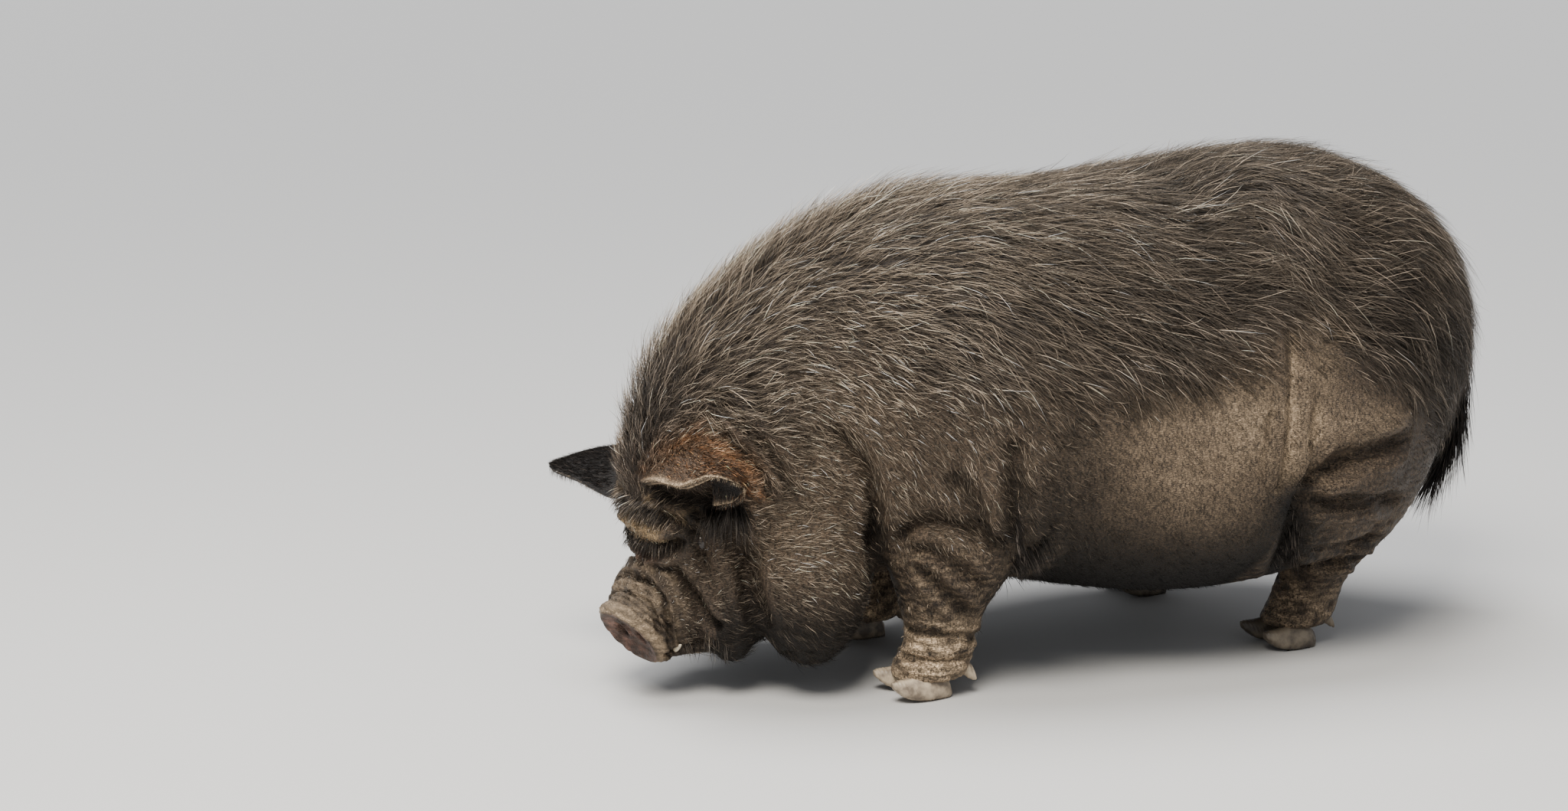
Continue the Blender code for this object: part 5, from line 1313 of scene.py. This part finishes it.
def finishHideColourAndShade():
    # The colours by place, with painted shade in hollows, inside the ears and over the far ear, pale borders
    # on the near ear and a dark, rosy snout disc
    points = meshPoints(hide)
    colour = coloursAndPaintedLight(points, False) * (1 - 0.55 * treeShade(hide))[:, None]
    front, across, rise = snoutPlaces(points)[:3]
    radial = np.sqrt((across / snout["halfWidth"]) ** 2 + (rise / snout["halfHeight"]) ** 2) / 1.08
    disc = smoothStep(front, -0.026, -0.018) * (1 - smoothStep(radial, 0.84, 0.96))
    blotch = 0.5 + 0.5 * ripple(points, 0.022, 62)
    rim = hump(radial, 1.0, 0.07) * smoothStep(front, -0.012, -0.004)
    # The disc's pale rim is partly dusty and partly a painted highlight
    for name, share in (("darkHide", 0.72 * disc), ("rosy", disc * (0.08 + 0.42 * blotch ** 2)),
                        ("dust", 0.42 * rim)):
        colour = colour + (np.array(tints[name]) - colour) * share[:, None]
    # Painted shade in the creases behind the rim
    for place in (0.011, 0.019, 0.027):
        crease = np.exp(-((-front + 0.0022 * ripple(points, 0.045, 21) - place) / 0.0022) ** 2)
        colour = colour * (1 - 0.55 * crease * (radial > 0.9) * (points[:, 0] < -0.49))[:, None]
    # Painted shade down in the nostrils
    for side in (1, -1):
        out = np.sqrt(((across - side * snout["nostrilApart"]) / snout["nostrilRadii"][0]) ** 2
                      + (rise / snout["nostrilRadii"][1]) ** 2)
        colour = colour * (1 - 0.92 * disc * (1 - smoothStep(out, 0.60, 1.10)))[:, None]
    # Inside each ear and all over the far ear the hide is painted black as shade; the near ear is brown and
    # rusty outside, with a pale border
    edgeTint = {1: tints["dust"], -1: tints["black"]}
    for side in (1, -1):
        share, v = (grid.ravel() for grid in np.meshgrid(np.linspace(0.0, 1.0, 50), np.linspace(-1, 1, 61)))
        layers = [earSurface(side, share, v, above)[0] for above in (1, -1)]
        finder = KDTree(2 * len(share))
        for layer, places in enumerate(layers):
            for i, place in enumerate(places):
                finder.insert(place, layer * len(share) + i)
        finder.balance()
        corner, far = np.min(layers[0], axis=0) - 0.02, np.max(layers[0], axis=0) + 0.02
        for i in np.nonzero(((points > corner) & (points < far)).all(1))[0]:
            place, index, away = finder.find(points[i])
            if away > 0.0035:
                continue
            layer, index = divmod(index, len(share))
            rim = math.exp(-((1 - abs(v[index])) / 0.055) ** 2) * min(1, share[index] / 0.12)
            rim = max(rim, math.exp(-((1 - share[index]) / 0.03) ** 2))
            base = np.array(tints["black"])
            if side > 0 and not layer:
                base = 0.55 * np.array(tints["brownHide"]) + 0.06 * np.array(tints["rust"])
            colour[i] = base + (0.62 * np.array(edgeTint[side]) - base) * rim
    wrinkled = legShare(points) * (1 - 0.4 * smoothStep(points[:, 0], 0.0, 0.1))
    hamFolds = smoothStep(points[:, 0], 0.20, 0.25) * (1 - smoothStep(points[:, 2], 0.27, 0.33))
    wrinkled = np.maximum(wrinkled, 0.75 * hamFolds) * (0.70 + 0.30 * ripple(points, 0.05, 64))
    muzzle = smoothStep(-points[:, 0], 0.49, 0.51) * (1 - smoothStep(points[:, 2], 0.15, 0.18))
    wrinkled += 0.45 * muzzle
    for label, values in (("wrinkled", wrinkled), ("grained", 1 - 0.55 * muzzle)):
        part = hide.data.attributes.new(label, "FLOAT", "POINT")
        part.data.foreach_set("value", values.astype(np.float32))
    tint = hide.data.attributes.new("hideTint", "FLOAT_COLOR", "POINT")
    tint.data.foreach_set("color", np.hstack((colour, np.ones((len(colour), 1)))).astype(np.float32).ravel())


def treeShade(made):
    # 1 in narrow hollows and 0 on open skin, from how much the faces round a corner close over it.
    points, normals = meshPoints(made), vertexNormals(made)
    flat = np.empty(len(made.data.edges) * 2, int)
    made.data.edges.foreach_get("vertices", flat)
    pairs = flat.reshape(-1, 2)
    step = points[pairs[:, 1]] - points[pairs[:, 0]]
    size = np.maximum(np.linalg.norm(step, axis=1), 1e-6)
    rise = np.zeros(len(points))
    count = np.zeros(len(points))
    for a, b, sign in ((0, 1, 1), (1, 0, -1)):
        np.add.at(rise, pairs[:, a], sign * (step * normals[pairs[:, a]]).sum(1) / size)
        np.add.at(count, pairs[:, a], 1)
    hollow = rise / np.maximum(count, 1)
    for _ in range(3):
        total, number = hollow.copy(), np.ones(len(points))
        for a, b in ((0, 1), (1, 0)):
            np.add.at(total, pairs[:, a], hollow[pairs[:, b]])
            np.add.at(number, pairs[:, a], 1)
        hollow = total / number
    return smoothStep(hollow, 0.04, 0.22)


finishHideColourAndShade()
hide.data.polygons.foreach_set("use_smooth", np.ones(len(hide.data.polygons), bool))
boxLow, boxHigh = np.array(boxAtStart[0]), np.array(boxAtStart[1])
setPoints(hide, np.clip(toLife(meshPoints(hide)), boxLow, boxHigh))
hide.data.materials.clear()
hide.data.materials.append(hideLook)
fleshNodes = ["torso", "neck", "head", "snout", "tail", "ear_left", "ear_right"]
fleshNodes += ["leg_" + name for name in body["feet"]]
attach(hide, "root")
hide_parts(*fleshNodes)


def finishCoat(name, grown, chosen=None, own=None, spread=0.62, paleShare=0.18, look=None):
    # own, where given, is each strand's colour in place of the colours and painted shade by place
    count = len(grown["roots"])
    if "colours" not in grown:
        grown["colours"] = coloursAndPaintedLight(grown["tuft"], True) if own is None else own
    chosen = np.ones(count, bool) if chosen is None else chosen
    tuftShade = np.exp(rng.normal(0, 0.15, count))[grown["owner"]]
    shade = tuftShade * np.exp(rng.normal(0, spread, count))
    # Pale strands stand partly for paler hairs and partly for painted glints
    pale = rng.random(count) < paleShare
    colours = grown["colours"] * np.where(pale, coat["paleGain"], coat["darkGain"])[:, None] * shade[:, None]
    width = grown["width"] * np.where(pale, coat["paleWidth"], 1.0)[:, None]
    made = coatPiece(name, dict(grown, width=width), chosen, colours)
    points = toLife(meshPoints(made))
    setPoints(made, np.clip(points, boxLow + coat["boxMargin"], boxHigh - coat["boxMargin"]))
    made.data.materials.append(look or bristleLook)
    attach(made, "root")
    return made


left = longHair["roots"][:, 1] < 0
longX = longHair["roots"][:, 0]
for label, start, end in (("Neck", -1.0, -0.20), ("Shoulder", -0.20, 0.03), ("Side", 0.03, 0.26),
                          ("Rump", 0.26, 1.0)):
    for word, mask in (("Left", left), ("Right", ~left)):
        finishCoat("coat" + label + word, longHair, mask & (longX >= start) & (longX < end),
                   paleShare=0.19 + 0.09 * smoothStep(-longX, -0.12, 0.25))
shortX = shortHair["roots"][:, 0]
shortLeft = shortHair["roots"][:, 1] < 0
for label, start, end in (("Face", -1.0, -0.36), ("Jowl", -0.36, -0.05), ("Belly", -0.05, 1.0)):
    for word, mask in (("Left", shortLeft), ("Right", ~shortLeft)):
        finishCoat("under" + label + word, shortHair, mask & (shortX >= start) & (shortX < end),
                   spread=0.32 if label == "Belly" else 0.62,
                   paleShare=0.22 * smoothStep(-shortX, -0.02, 0.15))
print("coat made")


def growFree(roots, normals, ways, lengths, lift, droop, halfWidth, places, steps=3, stray=0.12):
    # Strands off the trunk: each leaves its root along its way, lifted from the skin, and droops to its tip
    count = len(roots)
    shares = np.linspace(0, 1, steps + 1)
    heading = ways * math.cos(lift) + normals * math.sin(lift) + stray * rng.normal(size=(count, 3))
    heading = normalized(heading)
    bend = stray * rng.normal(size=(count, 3)) + np.array((0, 0, -droop))
    stations = [roots - normals * coat["rootDepth"]]
    for k in range(steps):
        heading = normalized(heading + bend / steps * (k + 0.5))
        stations.append(stations[-1] + heading * (lengths / steps)[:, None])
    stations = np.stack(stations, 1)
    ups = np.repeat(normals[:, None], steps + 1, 1)
    sides = strandSides(stations, ups)
    width = halfWidth * rng.uniform(0.7, 1.25, count)[:, None] * ((1 - shares) ** 0.6)[None, :]
    return {"stations": stations, "sides": sides, "ups": ups, "width": width, "roots": roots,
            "owner": np.arange(count), "tuft": roots, "length": lengths, "shares": shares, "places": places}


def rowsAt(rows, t):
    # The rows at the given shares of the way along them
    return np.stack([np.interp(t * (len(rows) - 1), np.arange(len(rows)), column) for column in rows.T], 1)


def droppedOnSkin(roots):
    found = [bodyTree.find_nearest(Vector(root)) for root in roots]
    return np.array([hit[0] for hit in found]), np.array([hit[1] for hit in found])


def tinted(count, *parts):
    # One colour for each strand, drawn between the named tints
    weights = rng.dirichlet([share for name, share in parts], count)
    return weights @ np.array([tints[name] for name, share in parts])


def thinned(count):
    return count


earCoat = {
    "outer": 3400,            # short hairs on the back of each ear
    "inner": 700,             # dark hairs that hang inside, under the border, partly their own colour and partly painted shade
    "fringe": 260,            # long hairs under the rear of each ear
    "border": 500,            # tiny hairs on the border itself
    "fringeLine": ((-0.487, -0.094, 0.246), (-0.455, -0.116, 0.246)),
}

for word, side in (("Left", 1), ("Right", -1)):
    count = thinned(earCoat["outer"])
    share, v = rng.uniform(-0.02, 0.97, count), rng.uniform(-0.93, 0.93, count)
    place, along, out = earSurface(side, share, v, 1)
    grown = growFree(place, out, along + 0.35 * rng.normal(size=(count, 3)) * 0.4,
                     rng.uniform(0.009, 0.017, count) * (1.1 - 0.4 * share), 0.36, 0.25, 0.00042,
                     np.stack((0.05 + 0.9 * np.clip(share, 0, 1), 0.25 + 0.22 * v), 1), steps=2)
    own = tinted(count, ("darkHair", 2.6), ("rust", 2.0), ("paleHair", 0.10)) * (0.85 - 0.40 * share)[:, None]
    # The far ear's hairs are painted near black and given the less glossy look, as shade
    if side < 0:
        own = tinted(count, ("darkHair", 0.5), ("black", 3.0)) * 0.6
    earLook = bristleLook if side > 0 else shadedBristleLook
    finishCoat("earHair" + word, grown, own=own, look=earLook)
    count = thinned(earCoat["inner"])
    share, v = rng.uniform(0.05, 0.98, count), rng.choice((-1, 1), count) * rng.uniform(0.70, 0.97, count)
    place, along, out = earSurface(side, share, v, -1)
    hang = np.tile((0.0, 0.0, -1.0), (count, 1)) + 0.25 * along
    grown = growFree(place, out, hang, rng.uniform(0.007, 0.013, count), 0.2, 0.3, 0.00034,
                     np.stack((0.05 + 0.9 * share, 0.5 + 0.45 * v), 1), steps=2)
    # dark lining hairs, partly their own colour and partly painted shade under the border
    finishCoat("earLining" + word, grown, own=tinted(count, ("darkHair", 3.0), ("black", 2.0), ("rust", 0.3)))
    count = thinned(earCoat["border"])
    share = rng.uniform(0.05, 1.0, count)
    v = rng.choice((-1, 1), count) * rng.uniform(0.95, 1.0, count)
    place, along, out = earSurface(side, share, v, 1)
    away = normalized(earSheet(side, share, v) - earSheet(side, share, 0.6 * v))
    tipLong = 0.020 * (side < 0) * smoothStep(share, 0.80, 1.0)
    grown = growFree(place, out, away + 0.5 * along, rng.uniform(0.003, 0.007, count) + tipLong, 0.15, 0.1,
                     0.00030, np.stack((0.05 + 0.9 * share, 0.5 + 0.45 * v), 1), steps=2)
    # the far ear's border hairs are painted darker, as shade
    own = tinted(count, ("darkHair", 2.0), ("dust", 0.9 if side > 0 else 0.05))
    finishCoat("earBorder" + word, grown, own=own)

    # hairs that hang under the rear of the ear, over the temple
    count = thinned(earCoat["fringe"])
    start, end = (np.array(place) for place in earCoat["fringeLine"])
    t = rng.random(count)
    roots = (start + (end - start) * t[:, None] + rng.normal(0, 0.003, (count, 3))) * (1, side, 1)
    roots, normals = droppedOnSkin(roots)
    ways = np.stack((-0.35 + 0.75 * t, np.full(count, -0.30 * side), np.full(count, -1.0)), 1)
    grown = growFree(roots, normals, normalized(ways), rng.uniform(0.026, 0.058, count), 0.50, 0.45, 0.00050,
                     np.stack((0.1 + 0.8 * t, np.full(count, 0.5) + 0.4 * rng.random(count)), 1))
    own = tinted(count, ("darkHair", 3.0), ("black", 1.5))
    finishCoat("templeHair" + word, grown, own=own, paleShare=0.04)
print("ear hair made")

# Lashes in the fold under the brow, hairs over the brow, whiskers, and the dark tufts behind the elbows
tuftLines = {
    "lash": dict(path=((-0.529, -0.004, 0.192), (-0.524, -0.036, 0.194), (-0.512, -0.060, 0.201)),
                 count=160, way=(-0.45, -0.10, -1.0), long=(0.012, 0.024), lift=0.55, droop=0.5,
                 wide=0.00048, scatter=0.0025,
                 mixed=(("darkHair", 2.0), ("black", 2.0), ("paleHair", 0.15))),
    "brow": dict(path=((-0.536, -0.004, 0.232), (-0.531, -0.035, 0.236), (-0.516, -0.056, 0.231)),
                 count=300, way=(-0.95, -0.15, -0.55), long=(0.014, 0.028), lift=0.45, droop=0.4,
                 wide=0.00052, scatter=0.006,
                 mixed=(("darkHair", 3.0), ("black", 1.0), ("paleHair", 0.35))),
    "whisker": dict(path=((-0.500, -0.060, 0.068), (-0.478, -0.072, 0.070), (-0.455, -0.086, 0.078)),
                    count=80, way=(0.15, -0.35, -1.0), long=(0.010, 0.026), lift=0.5, droop=0.3,
                    wide=0.00040, scatter=0.010,
                    mixed=(("darkHair", 2.0), ("paleHair", 0.10))),
    "elbow": dict(path=((-0.130, -0.235, 0.235), (-0.118, -0.232, 0.200), (-0.122, -0.215, 0.170)),
                  count=300, way=(0.55, -0.20, -1.0), long=(0.018, 0.036), lift=0.35, droop=0.3,
                  wide=0.00055, scatter=0.009,
                  mixed=(("darkHair", 2.0), ("black", 2.5))),
    "stifle": dict(path=((0.232, -0.262, 0.205), (0.226, -0.250, 0.170), (0.240, -0.222, 0.135)),
                   count=200, way=(0.10, -0.30, -1.0), long=(0.012, 0.026), lift=0.35, droop=0.3,
                   wide=0.00050, scatter=0.009,
                   mixed=(("darkHair", 2.0), ("black", 1.5))),
}
for label, tuft in tuftLines.items():
    line = splineRows(tuft["path"], 8)
    for word, side in (("Left", 1), ("Right", -1)):
        count = thinned(tuft["count"])
        t = rng.random(count)
        roots = (rowsAt(line, t) + rng.normal(0, tuft["scatter"], (count, 3))) * (1, side, 1)
        roots, normals = droppedOnSkin(roots)
        ways = np.tile(np.array(tuft["way"]) * (1, side, 1), (count, 1))
        lengths = rng.uniform(*tuft["long"], count)
        places = np.stack((0.1 + 0.8 * t, 0.1 + 0.8 * rng.random(count)), 1)
        grown = growFree(roots, normals, normalized(ways), lengths, tuft["lift"], tuft["droop"], tuft["wide"],
                         places)
        finishCoat(label + "Hair" + word, grown, own=tinted(count, *tuft["mixed"]))

tailCoat = {
    "sheath": 700,            # dark hairs down the tail
    "switch": 900,            # long black hairs over its lower half
    "switchStart": 0.20,
    "sheathLength": (0.014, 0.030),
    "switchLength": (0.050, 0.095),
    "sheathWide": 0.00055,    # half widths at the root
    "switchWide": 0.00070,
}


def growTail(count, start, long, lift, wide):
    rows = splineRows([(*place, radius) for place, radius in zip(tail["path"], tail["radii"])], 10)
    t = rng.uniform(start, 0.99, count)
    spots = rowsAt(rows, t)
    towards = normalized((rowsAt(rows, np.minimum(t + 0.04, 1)) - spots)[:, :3])
    turn = rng.uniform(0, 2 * math.pi, count)
    aside = normalized(np.cross(towards, np.array((0, 1.0, 0))))
    level = np.cross(aside, towards)
    normals = aside * np.cos(turn)[:, None] + level * np.sin(turn)[:, None]
    roots = spots[:, :3] + normals * spots[:, 3:4]
    places = np.stack((0.05 + 0.9 * t, turn / (2 * math.pi)), 1)
    return growFree(roots, normals, towards, rng.uniform(*long, count), lift, 0.35, wide, places, stray=0.07)


sheath = growTail(thinned(tailCoat["sheath"]), 0.02, tailCoat["sheathLength"], 0.42, tailCoat["sheathWide"])
finishCoat("tailHair", sheath, own=tinted(len(sheath["roots"]), ("darkHair", 3.0), ("paleHair", 0.15)))
switch = growTail(thinned(tailCoat["switch"]), tailCoat["switchStart"], tailCoat["switchLength"], 0.24,
                  tailCoat["switchWide"])
finishCoat("tailSwitch", switch, own=tinted(len(switch["roots"]), ("black", 3.0), ("darkHair", 1.5)))
print("loose hair made")

eyeLook = plainMaterial("eyeBrown", (0.012, 0.007, 0.005), 0.08)
for word, side in (("left", 1), ("right", -1)):
    centre = toLife([np.array(pig["eyePlace"]) * (1, side, 1)])[0]
    deselectAll()
    bpy.ops.mesh.primitive_uv_sphere_add(segments=40, ring_count=24, location=centre,
                                         radius=pig["eyeRadius"] * pig["lifeSize"])
    eye = bpy.context.object
    eye.name = "eyeBall" + word.capitalize()
    bpy.ops.object.transform_apply(location=True)
    bpy.ops.object.shade_smooth()
    eye.data.materials.append(eyeLook)
    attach(eye, "root")
    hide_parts("eye_" + word)

claw = {
    "horn": (0.360, 0.290, 0.205),
    "dark": (0.120, 0.092, 0.066),
    "ringSize": 0.0042,       # between growth rings
    "ringDepth": 0.00035,
    "patches": 70,            # scale of the blotches
    "mix": (0.38, 0.60),      # where the noise is dark and where it is pale
    "roughness": 0.52,
    # the far front claw's gain is lower, as painted shade
    "gains": {"front_left": 1.15, "front_right": 0.75, "hind": 0.40},
    "tusk": (0.62, 0.54, 0.40),
}


def hornMaterial(name, gain):
    made = bpy.data.materials.new(name)
    made.use_nodes = True
    tree = made.node_tree
    shader = tree.nodes["Principled BSDF"]
    place = addNode(tree, "ShaderNodeTexCoord").outputs["Object"]
    noise = addNode(tree, "ShaderNodeTexNoise", (("Scale", claw["patches"]), ("Detail", 8),
                                                 ("Vector", place)))
    ramp = addNode(tree, "ShaderNodeValToRGB", (("Fac", noise.outputs["Fac"]),))
    for element, position, colour in zip(ramp.color_ramp.elements, claw["mix"], (claw["dark"], claw["horn"])):
        element.position = position
        element.color = (*(gain * np.array(colour)), 1)
    tree.links.new(ramp.outputs["Color"], shader.inputs["Base Color"])
    shader.inputs["Roughness"].default_value = claw["roughness"]
    bump = addNode(tree, "ShaderNodeBump", (("Strength", 0.35), ("Distance", 0.0010),
                                            ("Height", noise.outputs["Fac"])))
    tree.links.new(bump.outputs["Normal"], shader.inputs["Normal"])
    return made


def finerCopy(name, pieceName, look):
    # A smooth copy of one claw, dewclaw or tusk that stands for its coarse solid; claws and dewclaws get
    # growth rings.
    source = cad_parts[name]
    made = bpy.data.objects.new(pieceName, source.data.copy())
    bpy.context.scene.collection.objects.link(made)
    made.data.materials.clear()
    made.data.materials.append(look)
    work = bmesh.new()
    work.from_mesh(made.data)
    bmesh.ops.remove_doubles(work, verts=work.verts, dist=0.00002)
    bmesh.ops.dissolve_limit(work, angle_limit=math.radians(2), verts=work.verts, edges=work.edges)
    bmesh.ops.triangulate(work, faces=[f for f in work.faces if len(f.verts) > 4])
    work.to_mesh(made.data)
    work.free()
    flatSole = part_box(name)[0][2] < 0.001
    applyModifier(made, "SUBSURF", levels=3, render_levels=3)
    points, normals = meshPoints(made), vertexNormals(made)
    if "usk" not in pieceName:
        around = (points[:, 0] + 0.3 * points[:, 2]) * 2 * math.pi / claw["ringSize"]
        points = points + normals * (claw["ringDepth"] * np.sin(around))[:, None]
    if flatSole:
        points[:, 2] = np.where(points[:, 2] < 0.0012, 0.0, points[:, 2])
    setPoints(made, points)
    made.data.polygons.foreach_set("use_smooth", np.ones(len(made.data.polygons), bool))
    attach(made, "root")
    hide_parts(name)


hornLooks = {"front_left": hornMaterial("clawPale", claw["gains"]["front_left"]),
             "front_right": hornMaterial("clawBrown", claw["gains"]["front_right"])}
hornLooks["hind_left"] = hornLooks["hind_right"] = hornMaterial("clawDark", claw["gains"]["hind"])
tuskLook = plainMaterial("tuskIvory", claw["tusk"], 0.35)
for name in list(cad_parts):
    words = name.split("_")
    if words[0] in ("hoof", "dewclaw"):
        label = {"hoof": "mainClaw", "dewclaw": "smallClaw"}[words[0]]
        look = hornLooks[words[1] + "_" + words[2]]
        finerCopy(name, label + "".join(word.capitalize() for word in words[1:]), look)
    elif words[0] == "tusk":
        finerCopy(name, "tusk" + words[1].capitalize(), tuskLook)
print("claws and tusks finished")

studio = {
    "cameraPlace": (-1.3258, -2.5962, 0.8536),
    "downTilt": math.radians(10.68),
    "heading": math.radians(-21.0),
    "lens": 53.61,
    "floorSize": 400,
    "floorColour": (0.43, 0.425, 0.416),
    "skyColour": (0.92, 0.95, 1.0),
    "skyStrength": 0.60,
    "keyPlace": (-1.5, -1.7, 3.0),
    "keySize": 1.5,
    "keyPower": 250,
    "keyColour": (1.0, 0.955, 0.88),
    "topStrength": 4.7,
    "topSoftness": math.radians(40),
    "topTurn": (math.radians(-14), math.radians(-10), 0),
}
cameraData = bpy.data.cameras.new("camera")
cameraData.lens = studio["lens"]
cameraData.sensor_width = 36
camera = bpy.data.objects.new("camera", cameraData)
camera.location = pig["lifeSize"] * (np.array(studio["cameraPlace"]) + frameShift)
camera.rotation_euler = (math.pi / 2 - studio["downTilt"], 0, studio["heading"])
bpy.context.scene.collection.objects.link(camera)
bpy.context.scene.camera = camera

deselectAll()
bpy.ops.mesh.primitive_plane_add(size=studio["floorSize"], location=(0, 0, 0))
floor = bpy.context.object
floor.name = "floor"
floor.data.materials.append(plainMaterial("floorPale", studio["floorColour"], 0.8))

world = bpy.data.worlds.new("studio")
world.use_nodes = True
world.node_tree.nodes["Background"].inputs["Color"].default_value = (*studio["skyColour"], 1)
world.node_tree.nodes["Background"].inputs["Strength"].default_value = studio["skyStrength"]
bpy.context.scene.world = world

keyData = bpy.data.lights.new("key", "AREA")
keyData.shape = "RECTANGLE"
keyData.size = keyData.size_y = studio["keySize"]
keyData.energy = studio["keyPower"]
keyData.color = studio["keyColour"]
key = bpy.data.objects.new("key", keyData)
key.location = studio["keyPlace"]
towardsPig = Vector((0, 0, 0.3)) - Vector(studio["keyPlace"])
key.rotation_euler = towardsPig.to_track_quat("-Z", "Y").to_euler()
bpy.context.scene.collection.objects.link(key)

topData = bpy.data.lights.new("top", "SUN")
topData.energy, topData.angle = studio["topStrength"], studio["topSoftness"]
top = bpy.data.objects.new("top", topData)
top.rotation_euler = studio["topTurn"]
bpy.context.scene.collection.objects.link(top)
print("studio lit")
